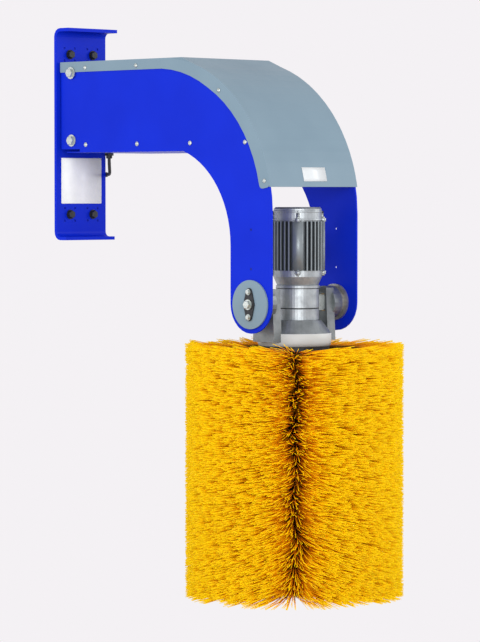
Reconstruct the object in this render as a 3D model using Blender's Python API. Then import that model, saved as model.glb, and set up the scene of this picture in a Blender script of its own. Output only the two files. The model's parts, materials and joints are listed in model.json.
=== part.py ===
"""Wall-hung rotating cow brush: arm on a wall bracket, swinging geared motor, upright brush.

Units are metres. The origin is the centre of the wall bracket's back face, +X points away from
the wall, +Z up, and +Y to the right of someone who faces the wall. Pieces that swing hang from
the empty swing_pivot, and pieces that turn hang from the empties brush_axis and motor_axis.
"""
import math
from enum import Enum

import bmesh
import bpy
from mathutils import Matrix, Vector

# Clearances and drawing steps
SEAT_GAP = 0.0003           # between two pieces that rest on each other
RADIAL_GAP = 0.0003         # between a pin or bolt and its hole
RUNNING_GAP = 0.001         # between faces that turn past each other
CUT_OVERRUN = 0.002         # a cutter stands out of the wall that it cuts by this much
WELD_DISTANCE = 0.00003     # points of a turned piece this close are one
ARC_STEPS = 14              # steps along the arm's two large bends
END_STEPS = 14              # steps round the lower end of a side plate
CORNER_STEPS = 4            # steps round a sheet's bend or corner
ROUND_SEGMENTS = 24         # facets round a turned piece
HOLE_SEGMENTS = 12          # facets round a hole and a bolt
BORE_SEGMENTS = 24          # facets round a bore that a pin turns in
SHARP_ANGLE = math.radians(35.0)

# Wall bracket: one bent plate with a shelf at each end
BRACKET_WIDTH = 0.158
BRACKET_HEIGHT = 0.507
BRACKET_THICKNESS = 0.008
BRACKET_TOP_SHELF = 0.0505
BRACKET_FOOT_SHELF = 0.0405
BRACKET_BEND_RADIUS = 0.020
WALL_BOLT_INSET_Y = 0.0425  # from the bracket's side edge
WALL_BOLT_INSET_Z = 0.0615  # from the bracket's top or foot
WALL_BOLT_RADIUS = 0.0060
WALL_WASHER_RADIUS = 0.0115
WALL_WASHER_THICKNESS = 0.0025
WALL_HEAD_RADIUS = 0.0100
WALL_HEAD_HEIGHT = 0.0075
SPARE_HOLE_RADIUS = 0.0032
SPARE_HOLE_OFFSET_Y = 0.0165
SPARE_HOLE_OFFSET_Z = 0.0150

# Arm: two side plates joined by a channel, a pan and a spacer
ARM_EDGE_OFFSET = 0.0103    # left side plate in from the bracket's left edge
ARM_WIDTH = 0.280           # over the outer faces of the side plates
ARM_WALL_CLEARANCE = 0.006  # from the bracket's face to the side plates' ends
PLATE_THICKNESS = 0.004
ARM_DROP = 0.0838           # from the bracket's top to the side plates' top
ARM_HEIGHT = 0.2137
ARM_BEND_RADIUS = 0.3587
THROAT_RADIUS = 0.228
THROAT_RISE_SHARE = 0.947   # of the throat radius, where the underside meets the throat
NOTCH_LENGTH = 0.066
NOTCH_HEIGHT = 0.008
PLATE_END_RADIUS = 0.066
SIGHT_HOLE_RADIUS = 0.003
SIGHT_HOLE_LOWER = 0.080    # above the pivot
SIGHT_HOLE_UPPER = 0.169

# Channel that carries the side plates on the wall bracket
CHANNEL_THICKNESS = 0.006
CHANNEL_REACH = 0.072
CHANNEL_TOP_INSET = 0.0037  # below the side plates' top
CHANNEL_FOOT_INSET = 0.010  # above the arm's underside
ARM_BOLT_INSET = 0.0385     # from the side plate's end
ARM_BOLT_TOP_INSET = 0.0241
ARM_BOLT_FOOT_INSET = 0.0287
ARM_BOLT_RADIUS = 0.0060
ARM_WASHER_RADIUS = 0.0145
ARM_WASHER_THICKNESS = 0.0025
ARM_HEAD_RADIUS = 0.0110
ARM_HEAD_HEIGHT = 0.0075
ROOT_BOLT_TOP_INSET = 0.0597
ROOT_BOLT_FOOT_INSET = 0.0640

# Hood: one sheet over the arm, with a lip screwed to the outside of each side plate
HOOD_THICKNESS = 0.002
HOOD_WALL_END_X = 0.0125
HOOD_CREASE_REACH = 0.067   # flat top runs on past the start of the bend
HOOD_LANDING_ANGLE = math.radians(72.1)
HOOD_FOOT_ANGLE = math.radians(10.0)
HOOD_LIP_STRAIGHT = 0.0245
HOOD_LIP_BEND = 0.0330
HOOD_LIP_SPREAD_ANGLE = math.radians(62.0)
HOOD_CORNER_RADIUS = 0.010

# Pan under the arm, with its upturned sides, and the spacer in the bend
PAN_THICKNESS = 0.002
PAN_START_X = 0.029
PAN_SIDE_HEIGHT = 0.030
SPACER_RADIUS = 0.010
SPACER_BORE = 0.0045
SPACER_REACH = 0.019        # from the pivot's line towards the wall
SPACER_DROP = 0.1957        # below the side plates' top

# Swing pivot
PIVOT_X = 0.660
PIVOT_DROP = 0.5617         # below the side plates' top
PIN_RADIUS = 0.015
PIVOT_DISC_RADIUS = 0.0555
PIVOT_DISC_THICKNESS = 0.004
LOCK_PLATE_THICKNESS = 0.003
LOCK_PLATE_WAIST = 0.0165
LOCK_PLATE_END = 0.0090
LOCK_BOLT_OFFSET = 0.0285
LOCK_BOLT_RADIUS = 0.0030
LOCK_WASHER_RADIUS = 0.0070
LOCK_WASHER_THICKNESS = 0.0015
LOCK_HEAD_RADIUS = 0.0056
LOCK_HEAD_HEIGHT = 0.0040
CENTRE_BOLT_RADIUS = 0.0050
CENTRE_BOLT_DEPTH = 0.018
CENTRE_WASHER_RADIUS = 0.0120
CENTRE_WASHER_THICKNESS = 0.003
CENTRE_HEAD_RADIUS = 0.0098
CENTRE_HEAD_HEIGHT = 0.0065
BEARING_FLANGE_RADIUS = 0.042
BEARING_FLANGE_THICKNESS = 0.006
BEARING_BOSS_RADIUS = 0.034
BEARING_LENGTH = 0.0155
PIVOT_NUT_RADIUS = 0.0205
PIVOT_NUT_THICKNESS = 0.007
BUSH_OUTER_RADIUS = 0.020

# Swing yoke: cast dish with an upright arm and a hub on each side
HUB_RADIUS = 0.038
HUB_LENGTH = 0.019
YOKE_ARM_DEPTH = 0.025      # across the pan of each upright arm, along the pivot's axis
YOKE_WEB = 0.006
YOKE_RIB = 0.006
YOKE_ARM_HALF_TOP = 0.028
YOKE_ARM_HALF_FOOT = 0.034
YOKE_ARM_TOP = 0.034
YOKE_ARM_FOOT = -0.086
YOKE_FOOT_HALF = 0.030      # bar under each upright arm, from inside the dish outward
YOKE_FOOT_LOW = -0.085
YOKE_FOOT_HIGH = -0.077
DISH_SEAT_RADIUS = 0.061
DISH_SEAT_Z = -0.038
DISH_RIM_RADIUS = 0.084
DISH_RIM_TOP_Z = -0.068
DISH_RIM_FOOT_Z = -0.088
DISH_BASE_RADIUS = 0.081
DISH_BASE_Z = -0.098
DISH_BORE_RADIUS = 0.0303

# Geared motor, standing off the brush's axis towards +Y
MOTOR_OFFSET_Y = 0.0105
GEAR_CASE_RADIUS = 0.049
GEAR_CASE_LOWER_HEIGHT = 0.026
GEAR_CASE_UPPER_HEIGHT = 0.046
GEAR_CASE_EDGE = 0.0015
SHIELD_HEIGHT = 0.040
SHIELD_FLANGE_RADIUS = 0.050
SHIELD_FLANGE_HEIGHT = 0.006
SHIELD_NECK_RADIUS = 0.047
SHIELD_TOP_RADIUS = 0.056
SHIELD_BAND_HEIGHT = 0.014
SHIELD_WALL = 0.006
MOTOR_HEIGHT = 0.112
MOTOR_SHELL_RADIUS = 0.053
MOTOR_FIN_RADIUS = 0.062
MOTOR_BORE_RADIUS = 0.047
MOTOR_PAD_REACH = 0.058     # from the motor's axis to the terminal box's flat pad
FIN_COUNT = 30
FIN_THICKNESS_SHARE = 0.36  # of the pitch between two fins
FIN_PAD_SHARE = 0.17        # of the full turn that the terminal box's flat pad takes
CAP_HEIGHT = 0.032
CAP_RADIUS = 0.055
CAP_WALL = 0.003
CAP_TOP_THICKNESS = 0.004
CAP_EDGE = 0.004
CAP_BOSS_RADIUS = 0.021
STATOR_BORE_RADIUS = 0.030
STATOR_LENGTH_SHARE = 0.78  # of the motor's height
ROTOR_CORE_RADIUS = 0.0290
ROTOR_CORE_LENGTH_SHARE = 0.72
ROTOR_SHAFT_RADIUS = 0.007
ROTOR_SHAFT_DEPTH = 0.022   # into the upper gear case
MOTOR_BEARING_RADIUS = 0.016
MOTOR_BEARING_WIDTH = 0.010
TERMINAL_BOX_DEPTH = 0.034
TERMINAL_BOX_WIDTH = 0.060
TERMINAL_BOX_HEIGHT = 0.070
TERMINAL_BOX_CHAMFER = 0.006

# Brush
SHAFT_RADIUS = 0.015
SHAFT_TOP_Z = -0.022
SHAFT_FOOT_Z = -0.128
SHAFT_BEARING_WIDTH = 0.014
SHAFT_BEARING_Z = -0.060
FLANGE_RADIUS = 0.080
FLANGE_THICKNESS = 0.0085
FLANGE_BOSS_LENGTH = 0.026
TUBE_RADIUS = 0.040
TUBE_WALL = 0.004
TUBE_FOOT_Z = -0.661
BRISTLE_RADIUS = 0.250
BRISTLE_RIM_TOP_Z = -0.086
BRISTLE_FOOT_Z = -0.672
BRISTLE_SEAM = 0.0006       # between the two halves of the brush
SEAM_AZIMUTH = math.radians(-44.5)
HALF_STEPS = 20
END_PLATE_RADIUS = 0.060
END_PLATE_THICKNESS = 0.006
END_PLATE_BOSS_LENGTH = 0.022
TIE_ROD_RADIUS = 0.006
TIE_ROD_ENGAGEMENT = 0.025  # into the shaft's lower end
END_NUT_RADIUS = 0.011
END_NUT_HEIGHT = 0.009

# Cable from the pan to the wall
CABLE_RADIUS = 0.004
CABLE_X = 0.041
CABLE_Y = 0.061
GLAND_EDGE = 0.0012
GLAND_NUT_RADIUS = 0.011
GLAND_NUT_HEIGHT = 0.006
GLAND_NOSE_HEIGHT = 0.007
GLAND_NOSE_RADIUS = 0.0075
GLAND_THREAD_RADIUS = 0.0075
GLAND_THREAD_LENGTH = 0.008
GROMMET_RADIUS = 0.0060
GROMMET_LIP = 0.0020
GROMMET_NECK_RADIUS = 0.0050
GROMMET_LENGTH = 0.0050
GROMMET_DROP = 0.0516       # below the arm's underside
CABLE_PROFILE_RESOLUTION = 3
CABLE_SAMPLES_PER_SPAN = 2
# Route points: distance along +X and +Y from the gland's line, and from the arm's underside
CABLE_ROUTE = (
    (0.0000, 0.0000, -0.0136),
    (0.0000, 0.0000, -0.0186),
    (-0.0012, 0.0016, -0.0299),
    (-0.0045, 0.0053, -0.0389),
    (-0.0096, 0.0103, -0.0456),
    (-0.0165, 0.0156, -0.0500),
    (-0.0253, 0.0207, -0.0516),
    (-0.0294, 0.0225, -0.0516),
    (-0.0342, 0.0243, -0.0516),
)

# Places worked out from the sizes above
ARM_TOP_Z = BRACKET_HEIGHT / 2 - ARM_DROP
ARM_UNDERSIDE_Z = ARM_TOP_Z - ARM_HEIGHT
CHANNEL_TOP_Z = ARM_TOP_Z - CHANNEL_TOP_INSET
CHANNEL_FOOT_Z = ARM_UNDERSIDE_Z + CHANNEL_FOOT_INSET
PIVOT_Z = ARM_TOP_Z - PIVOT_DROP
SPACER_Z = ARM_TOP_Z - SPACER_DROP
ARM_LEFT_Y = -BRACKET_WIDTH / 2 + ARM_EDGE_OFFSET
ARM_RIGHT_Y = ARM_LEFT_Y + ARM_WIDTH
ARM_MIDDLE_Y = (ARM_LEFT_Y + ARM_RIGHT_Y) / 2
PLATE_START_X = BRACKET_THICKNESS + ARM_WALL_CLEARANCE
BEND_X = PIVOT_X + PLATE_END_RADIUS - ARM_BEND_RADIUS
BEND_Z = ARM_TOP_Z - ARM_BEND_RADIUS
THROAT_X = PIVOT_X - PLATE_END_RADIUS - THROAT_RADIUS
THROAT_Z = ARM_UNDERSIDE_Z - THROAT_RADIUS * THROAT_RISE_SHARE
THROAT_START_ANGLE = math.asin(THROAT_RISE_SHARE)
HUB_FACE_Y = ARM_WIDTH / 2 - PLATE_THICKNESS - SEAT_GAP - BEARING_LENGTH - RUNNING_GAP
GEAR_SPLIT_Z = DISH_SEAT_Z + SEAT_GAP + GEAR_CASE_LOWER_HEIGHT
GEAR_TOP_Z = GEAR_SPLIT_Z + SEAT_GAP + GEAR_CASE_UPPER_HEIGHT
SHIELD_FOOT_Z = GEAR_TOP_Z + SEAT_GAP
MOTOR_FOOT_Z = SHIELD_FOOT_Z + SHIELD_HEIGHT + SEAT_GAP
MOTOR_TOP_Z = MOTOR_FOOT_Z + MOTOR_HEIGHT
CAP_FOOT_Z = MOTOR_TOP_Z + SEAT_GAP
CAP_TOP_Z = CAP_FOOT_Z + CAP_HEIGHT
LOWER_BEARING_Z = SHIELD_FOOT_Z + SHIELD_HEIGHT / 2
UPPER_BEARING_Z = CAP_TOP_Z - CAP_TOP_THICKNESS - SEAT_GAP
FLANGE_TOP_Z = DISH_BASE_Z - RUNNING_GAP
FLANGE_FOOT_Z = FLANGE_TOP_Z - FLANGE_THICKNESS
BRUSH_TOP_Z = FLANGE_FOOT_Z - SEAT_GAP

# Turns that lay a flat outline drawn in X and Y on another plane
UPRIGHT = Matrix.Rotation(math.radians(90.0), 4, "X")        # drawn Y goes up, depth to -Y
ALONG_ARM = UPRIGHT @ Matrix.Rotation(math.radians(90.0), 4, "Y")  # drawn X to +Y, depth to +X
TO_WALL = Matrix.Rotation(math.radians(-90.0), 4, "Y")       # depth to -X, drawn X goes up
FACING_WALL = Matrix.Rotation(math.radians(90.0), 4, "Y")    # a turned piece's axis goes to +X
TO_RIGHT = Matrix.Rotation(math.radians(-90.0), 4, "X")      # a turned piece's axis goes to +Y
TO_LEFT = Matrix.Rotation(math.radians(90.0), 4, "X")        # a turned piece's axis goes to -Y


class Side(Enum):
    """Side of the arm, with the sign of its Y direction."""

    LEFT = -1
    RIGHT = 1

    @property
    def label(self):
        return self.name.lower()

    @property
    def outward(self):
        """Turn that lays a turned piece's axis along the outward direction."""
        return TO_LEFT if self is Side.LEFT else TO_RIGHT

    @property
    def outer_y(self):
        return ARM_LEFT_Y if self is Side.LEFT else ARM_RIGHT_Y


class Finish(Enum):
    """Colour, metallic value and roughness of each material."""

    BLUE_PAINT = (0.012, 0.055, 0.62, 0.0, 0.38)
    GREY_PAINT = (0.33, 0.42, 0.46, 0.0, 0.45)
    CAST_ALUMINIUM = (0.55, 0.56, 0.56, 0.85, 0.48)
    DARK_STEEL = (0.035, 0.037, 0.042, 0.6, 0.5)
    ZINC = (0.66, 0.68, 0.66, 0.95, 0.32)
    BLACK_RUBBER = (0.018, 0.018, 0.020, 0.0, 0.65)
    BRONZE = (0.45, 0.30, 0.14, 0.9, 0.4)
    LAMINATION = (0.24, 0.24, 0.25, 0.8, 0.5)
    YELLOW_BRISTLE = (0.86, 0.50, 0.02, 0.0, 0.55)


def material_for(finish):
    """Return the Principled material of a finish, made on first use."""
    found = bpy.data.materials.get(finish.name.lower())
    if found:
        return found
    red, green, blue, metallic, roughness = finish.value
    material = bpy.data.materials.new(finish.name.lower())
    material.use_nodes = True
    shader = material.node_tree.nodes["Principled BSDF"]
    shader.inputs["Base Color"].default_value = (red, green, blue, 1)
    shader.inputs["Metallic"].default_value = metallic
    shader.inputs["Roughness"].default_value = roughness
    return material


def link(name, data, finish, parent=None):
    """Add an object for a mesh or curve to the scene."""
    piece = bpy.data.objects.new(name, data)
    bpy.context.scene.collection.objects.link(piece)
    data.materials.append(material_for(finish))
    piece.parent = parent
    return piece


def add_piece(name, shape, finish, parent=None, place=None):
    """Make a named object from a bmesh, with its faces pointing out."""
    bmesh.ops.recalc_face_normals(shape, faces=shape.faces)
    mesh = bpy.data.meshes.new(name)
    shape.to_mesh(mesh)
    shape.free()
    mesh.shade_smooth()
    mesh.set_sharp_from_angle(angle=SHARP_ANGLE)
    piece = link(name, mesh, finish, parent)
    if place is not None:
        piece.matrix_local = place
    return piece


def add_empty(name, location, parent=None):
    """Add an empty that marks a joint's axis."""
    empty = bpy.data.objects.new(name, None)
    bpy.context.scene.collection.objects.link(empty)
    empty.parent = parent
    empty.location = location
    return empty


def at(x, y, z, turn=None):
    """Return the matrix that places a piece at a point, with an optional turn."""
    move = Matrix.Translation((x, y, z))
    return move @ turn if turn else move


def arc(centre_x, centre_y, radius, start, end, steps):
    """Return points along an arc from one angle to another, both included."""
    points = []
    for step in range(steps + 1):
        angle = start + (end - start) * step / steps
        points.append((centre_x + radius * math.cos(angle), centre_y + radius * math.sin(angle)))
    return points


def circle(centre_x, centre_y, radius, segments):
    """Return the points of a full circle, with the first one not repeated."""
    return arc(centre_x, centre_y, radius, 0, 2 * math.pi, segments)[:-1]


def outline_loop(shape, points):
    """Add a closed loop of edges at height 0 and return them."""
    corners = [shape.verts.new((x, y, 0)) for x, y in points]
    pairs = zip(corners, corners[1:] + corners[:1])
    return [shape.edges.new(pair) for pair in pairs]


def extruded(outline, depth, holes=()):
    """Fill an outline with its holes and extrude it from 0 to depth along Z."""
    shape = bmesh.new()
    edges = outline_loop(shape, outline)
    for hole in holes:
        edges += outline_loop(shape, hole)
    if holes:
        bmesh.ops.triangle_fill(shape, use_beauty=True, use_dissolve=False, edges=edges)
    else:
        shape.faces.new(shape.verts)
    grown = bmesh.ops.extrude_face_region(shape, geom=shape.faces[:])
    moved = [item for item in grown["geom"] if isinstance(item, bmesh.types.BMVert)]
    bmesh.ops.translate(shape, verts=moved, vec=(0, 0, depth))
    return shape


def turned(profile, segments=ROUND_SEGMENTS, angle=2 * math.pi, start=0.0):
    """Spin a closed profile of (radius, z) points about Z.

    Points on the axis are merged. A part turn is closed with a flat face at each end.
    """
    shape = bmesh.new()
    turn = Matrix.Rotation(start, 3, "Z")
    corners = [shape.verts.new(turn @ Vector((radius, 0, z))) for radius, z in profile]
    pairs = zip(corners, corners[1:] + corners[:1])
    geometry = corners + [shape.edges.new(pair) for pair in pairs]
    whole = angle == 2 * math.pi
    if not whole:
        geometry.append(shape.faces.new(corners))
    bmesh.ops.spin(shape, geom=geometry, axis=(0, 0, 1), cent=(0, 0, 0), steps=segments,
                   angle=angle, use_merge=whole, use_duplicate=False)
    bmesh.ops.remove_doubles(shape, verts=shape.verts, dist=WELD_DISTANCE)
    return shape


def ring(inner, outer, low, high, segments=ROUND_SEGMENTS):
    """Return a plain ring between two radii and two heights."""
    return turned([(inner, low), (outer, low), (outer, high), (inner, high)], segments)


def stacked(sections, segments=HOLE_SEGMENTS):
    """Join rings of equal count into one closed piece.

    Each section is (radius, z, is_hexagon). A hexagon's radius reaches its corners.
    """
    shape = bmesh.new()
    rings = []
    for radius, z, is_hexagon in sections:
        loop = []
        for step in range(segments):
            angle = 2 * math.pi * step / segments
            reach = radius
            if is_hexagon:
                from_flat = (angle % (math.pi / 3)) - math.pi / 6
                reach = radius * math.cos(math.pi / 6) / math.cos(from_flat)
            loop.append(shape.verts.new((reach * math.cos(angle), reach * math.sin(angle), z)))
        rings.append(loop)
    for lower, upper in zip(rings, rings[1:]):
        for step in range(segments):
            following = (step + 1) % segments
            shape.faces.new((lower[step], lower[following], upper[following], upper[step]))
    shape.faces.new(rings[0][::-1])
    shape.faces.new(rings[-1])
    return shape


def bolt_shape(shank_radius, shank_end, washer_radius, washer_thickness, head_radius, head_height):
    """Return a hexagon bolt with its washer.

    The washer's underside is at height 0, and the shank runs down to shank_end.
    """
    head_top = washer_thickness + head_height
    edge = head_height / 6
    return stacked([
        (shank_radius, shank_end, False),
        (shank_radius, 0, False),
        (washer_radius, 0, False),
        (washer_radius, washer_thickness, False),
        (head_radius, washer_thickness, True),
        (head_radius, head_top - edge, True),
        (head_radius - edge, head_top, True),
    ])


def cut(piece, cutters):
    """Take cutter pieces out of a piece."""
    for cutter in cutters:
        cutter.hide_render = True
        cutter.display_type = "WIRE"
        modifier = piece.modifiers.new(cutter.name, "BOOLEAN")
        modifier.operation = "DIFFERENCE"
        modifier.solver = "EXACT"
        modifier.object = cutter


def fuse(piece, additions):
    """Join helper pieces to a piece so that they make one body."""
    for addition in additions:
        addition.hide_render = True
        addition.display_type = "WIRE"
        modifier = piece.modifiers.new(addition.name, "BOOLEAN")
        modifier.operation = "UNION"
        modifier.solver = "EXACT"
        modifier.object = addition


def drill(name, places, radius, low, high, parent=None, place=None, segments=HOLE_SEGMENTS):
    """Return one cutter with a cylinder at each place of its local X and Y."""
    shape = bmesh.new()
    depth = high - low
    for x, y in places:
        made = bmesh.ops.create_cone(shape, cap_ends=True, segments=segments, radius1=radius,
                                     radius2=radius, depth=depth)
        bmesh.ops.translate(shape, verts=made["verts"], vec=(x, y, low + depth / 2))
    return add_piece(name, shape, Finish.DARK_STEEL, parent, place)


def bracket_profile():
    """Return the C-shaped outline of the wall bracket in X and Z."""
    half = BRACKET_HEIGHT / 2
    outer = BRACKET_BEND_RADIUS
    inner = BRACKET_BEND_RADIUS - BRACKET_THICKNESS
    quarter, half_turn = math.pi / 2, math.pi
    points = [(BRACKET_TOP_SHELF, half)]
    points += arc(outer, half - outer, outer, quarter, half_turn, CORNER_STEPS)
    points += arc(outer, outer - half, outer, half_turn, half_turn + quarter, CORNER_STEPS)
    points += [(BRACKET_FOOT_SHELF, -half), (BRACKET_FOOT_SHELF, BRACKET_THICKNESS - half)]
    points += arc(outer, outer - half, inner, half_turn + quarter, half_turn, CORNER_STEPS)
    points += arc(outer, half - outer, inner, half_turn, quarter, CORNER_STEPS)
    points.append((BRACKET_TOP_SHELF, half - BRACKET_THICKNESS))
    return points


def wall_bolt_places():
    """Return the Y and Z of the four wall bolts."""
    reach_y = BRACKET_WIDTH / 2 - WALL_BOLT_INSET_Y
    reach_z = BRACKET_HEIGHT / 2 - WALL_BOLT_INSET_Z
    return [(y * reach_y, z * reach_z) for z in (1, -1) for y in (-1, 1)]


def root_bolt_places():
    """Return the Y and Z of the bolts between the channel and the bracket."""
    return [(0, ARM_TOP_Z - ROOT_BOLT_TOP_INSET), (0, ARM_UNDERSIDE_Z + ROOT_BOLT_FOOT_INSET)]


def make_wall_bracket():
    """Bent bracket with bolt holes, spare holes round them and the channel's bolt holes."""
    shape = extruded(bracket_profile(), BRACKET_WIDTH)
    bracket = add_piece("wall_bracket", shape, Finish.BLUE_PAINT,
                        place=at(0, BRACKET_WIDTH / 2, 0, UPRIGHT))
    spare = [(y + side * SPARE_HOLE_OFFSET_Y, z + rise * SPARE_HOLE_OFFSET_Z)
             for y, z in wall_bolt_places() for side in (-1, 1) for rise in (-1, 1)]
    # A turned cutter's X points down and its Y to +Y once its axis faces away from the wall
    through = (-CUT_OVERRUN, BRACKET_THICKNESS + CUT_OVERRUN)
    bolts = wall_bolt_places() + root_bolt_places()
    cutters = [
        drill("bracket_bolt_cutter", [(-z, y) for y, z in bolts], WALL_BOLT_RADIUS + RADIAL_GAP,
              *through, place=at(0, 0, 0, FACING_WALL)),
        drill("bracket_spare_cutter", [(-z, y) for y, z in spare], SPARE_HOLE_RADIUS,
              *through, place=at(0, 0, 0, FACING_WALL), segments=HOLE_SEGMENTS // 2 + 2),
    ]
    cut(bracket, cutters)


def make_wall_bolts():
    """Four wall bolts through the bracket, and two that hold the channel on it."""
    for number, (y, z) in enumerate(wall_bolt_places(), 1):
        shape = bolt_shape(WALL_BOLT_RADIUS, -BRACKET_THICKNESS, WALL_WASHER_RADIUS,
                           WALL_WASHER_THICKNESS, WALL_HEAD_RADIUS, WALL_HEAD_HEIGHT)
        add_piece(f"wall_bolt_{number}", shape, Finish.DARK_STEEL,
                  place=at(BRACKET_THICKNESS + SEAT_GAP, y, z, FACING_WALL))
    depth = BRACKET_THICKNESS + CHANNEL_THICKNESS
    for number, (y, z) in enumerate(root_bolt_places(), 1):
        shape = bolt_shape(WALL_BOLT_RADIUS, -depth, WALL_WASHER_RADIUS,
                           WALL_WASHER_THICKNESS, WALL_HEAD_RADIUS, WALL_HEAD_HEIGHT)
        add_piece(f"channel_bolt_{number}", shape, Finish.ZINC,
                  place=at(depth + 2 * SEAT_GAP, y, z, FACING_WALL))


def arm_bolt_places():
    """Return the X and Z of the two large bolts of a side plate."""
    x = PLATE_START_X + ARM_BOLT_INSET
    return [(x, ARM_TOP_Z - ARM_BOLT_TOP_INSET), (x, ARM_UNDERSIDE_Z + ARM_BOLT_FOOT_INSET)]


def drill_across(name, places, radius, segments=HOLE_SEGMENTS):
    """Return a cutter that runs across the whole arm at each (x, z) place."""
    reach = HOOD_THICKNESS + SEAT_GAP + CUT_OVERRUN
    return drill(name, places, radius, -ARM_RIGHT_Y - reach, -ARM_LEFT_Y + reach,
                 place=at(0, 0, 0, UPRIGHT), segments=segments)


def make_arm_channel():
    """U-shaped channel on the bracket's face, whose sides carry the side plates."""
    left = ARM_LEFT_Y + PLATE_THICKNESS + SEAT_GAP
    right = ARM_RIGHT_Y - PLATE_THICKNESS - SEAT_GAP
    wall = BRACKET_THICKNESS + SEAT_GAP
    front = wall + CHANNEL_REACH
    inside = wall + CHANNEL_THICKNESS
    # Seen from above: X from the wall and Y across
    outline = [(wall, left), (front, left), (front, left + CHANNEL_THICKNESS),
               (inside, left + CHANNEL_THICKNESS), (inside, right - CHANNEL_THICKNESS),
               (front, right - CHANNEL_THICKNESS), (front, right), (wall, right)]
    shape = extruded(outline, CHANNEL_TOP_Z - CHANNEL_FOOT_Z)
    channel = add_piece("arm_channel", shape, Finish.BLUE_PAINT, place=at(0, 0, CHANNEL_FOOT_Z))
    web_holes = drill("channel_web_cutter", [(-z, y) for y, z in root_bolt_places()],
                      WALL_BOLT_RADIUS + RADIAL_GAP, 0, inside + CUT_OVERRUN,
                      place=at(0, 0, 0, FACING_WALL))
    side_holes = drill_across("channel_side_cutter", arm_bolt_places(),
                              ARM_BOLT_RADIUS + RADIAL_GAP)
    cut(channel, [web_holes, side_holes])


def side_plate_outline():
    """Return the outline of a side plate in X and Z, from its upper wall end clockwise."""
    notch_x = PLATE_START_X + NOTCH_LENGTH
    notch_z = ARM_UNDERSIDE_Z + NOTCH_HEIGHT
    points = [(PLATE_START_X, ARM_TOP_Z)]
    points += arc(BEND_X, BEND_Z, ARM_BEND_RADIUS, math.pi / 2, 0, ARC_STEPS)
    points += arc(PIVOT_X, PIVOT_Z, PLATE_END_RADIUS, 0, -math.pi, END_STEPS)
    points += arc(THROAT_X, THROAT_Z, THROAT_RADIUS, 0, THROAT_START_ANGLE, ARC_STEPS)
    points += [(notch_x, ARM_UNDERSIDE_Z), (notch_x, notch_z), (PLATE_START_X, notch_z)]
    return points


def plate_holes():
    """Return the holes of a side plate."""
    holes = [circle(PIVOT_X, PIVOT_Z, PIN_RADIUS + RADIAL_GAP, BORE_SEGMENTS)]
    for x, z in arm_bolt_places():
        holes.append(circle(x, z, ARM_BOLT_RADIUS + RADIAL_GAP, HOLE_SEGMENTS))
    for rise in (SIGHT_HOLE_LOWER, SIGHT_HOLE_UPPER):
        holes.append(circle(PIVOT_X, PIVOT_Z + rise, SIGHT_HOLE_RADIUS, HOLE_SEGMENTS))
    for rise in (-LOCK_BOLT_OFFSET, LOCK_BOLT_OFFSET):
        holes.append(circle(PIVOT_X, PIVOT_Z + rise, LOCK_BOLT_RADIUS + RADIAL_GAP,
                            HOLE_SEGMENTS))
    return holes


def lip_lift(z):
    """Return how far the hood's lip lifts a washer of the arm that lies on it at height z."""
    on_lip = z + ARM_WASHER_RADIUS > ARM_TOP_Z + SEAT_GAP + HOOD_THICKNESS - HOOD_LIP_STRAIGHT
    return HOOD_THICKNESS + SEAT_GAP if on_lip else 0


def make_side_plate(side):
    """Side plate of the arm, and the two large bolts that hold it to the channel."""
    right_face = side.outer_y if side is Side.RIGHT else side.outer_y + PLATE_THICKNESS
    shape = extruded(side_plate_outline(), PLATE_THICKNESS, plate_holes())
    add_piece(f"side_plate_{side.label}", shape, Finish.BLUE_PAINT,
              place=at(0, right_face, 0, UPRIGHT))
    for level, (x, z) in zip(("upper", "lower"), arm_bolt_places()):
        lift = SEAT_GAP + lip_lift(z)
        bolt = bolt_shape(ARM_BOLT_RADIUS, -lift - PLATE_THICKNESS - CHANNEL_THICKNESS,
                          ARM_WASHER_RADIUS, ARM_WASHER_THICKNESS, ARM_HEAD_RADIUS,
                          ARM_HEAD_HEIGHT)
        add_piece(f"arm_bolt_{side.label}_{level}", bolt, Finish.ZINC,
                  place=at(x, side.outer_y + side.value * lift, z, side.outward))


def hood_outer_radius():
    """Return the radius of the hood's outside round the bend."""
    return ARM_BEND_RADIUS + SEAT_GAP + HOOD_THICKNESS


def hood_sheet_profile():
    """Return the section of the hood's sheet in X and Z.

    The flat top runs straight on past the start of the bend to a crease, drops to the bend
    along a short flat, and then follows the bend down to the hood's foot.
    """
    outer = hood_outer_radius()
    inner = outer - HOOD_THICKNESS
    top = BEND_Z + outer
    crease = BEND_X + HOOD_CREASE_REACH
    points = [(HOOD_WALL_END_X, top), (crease, top)]
    points += arc(BEND_X, BEND_Z, outer, HOOD_LANDING_ANGLE, HOOD_FOOT_ANGLE, ARC_STEPS)
    points += arc(BEND_X, BEND_Z, inner, HOOD_FOOT_ANGLE, HOOD_LANDING_ANGLE, ARC_STEPS)
    points += [(crease, top - HOOD_THICKNESS), (HOOD_WALL_END_X, top - HOOD_THICKNESS)]
    return points


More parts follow.
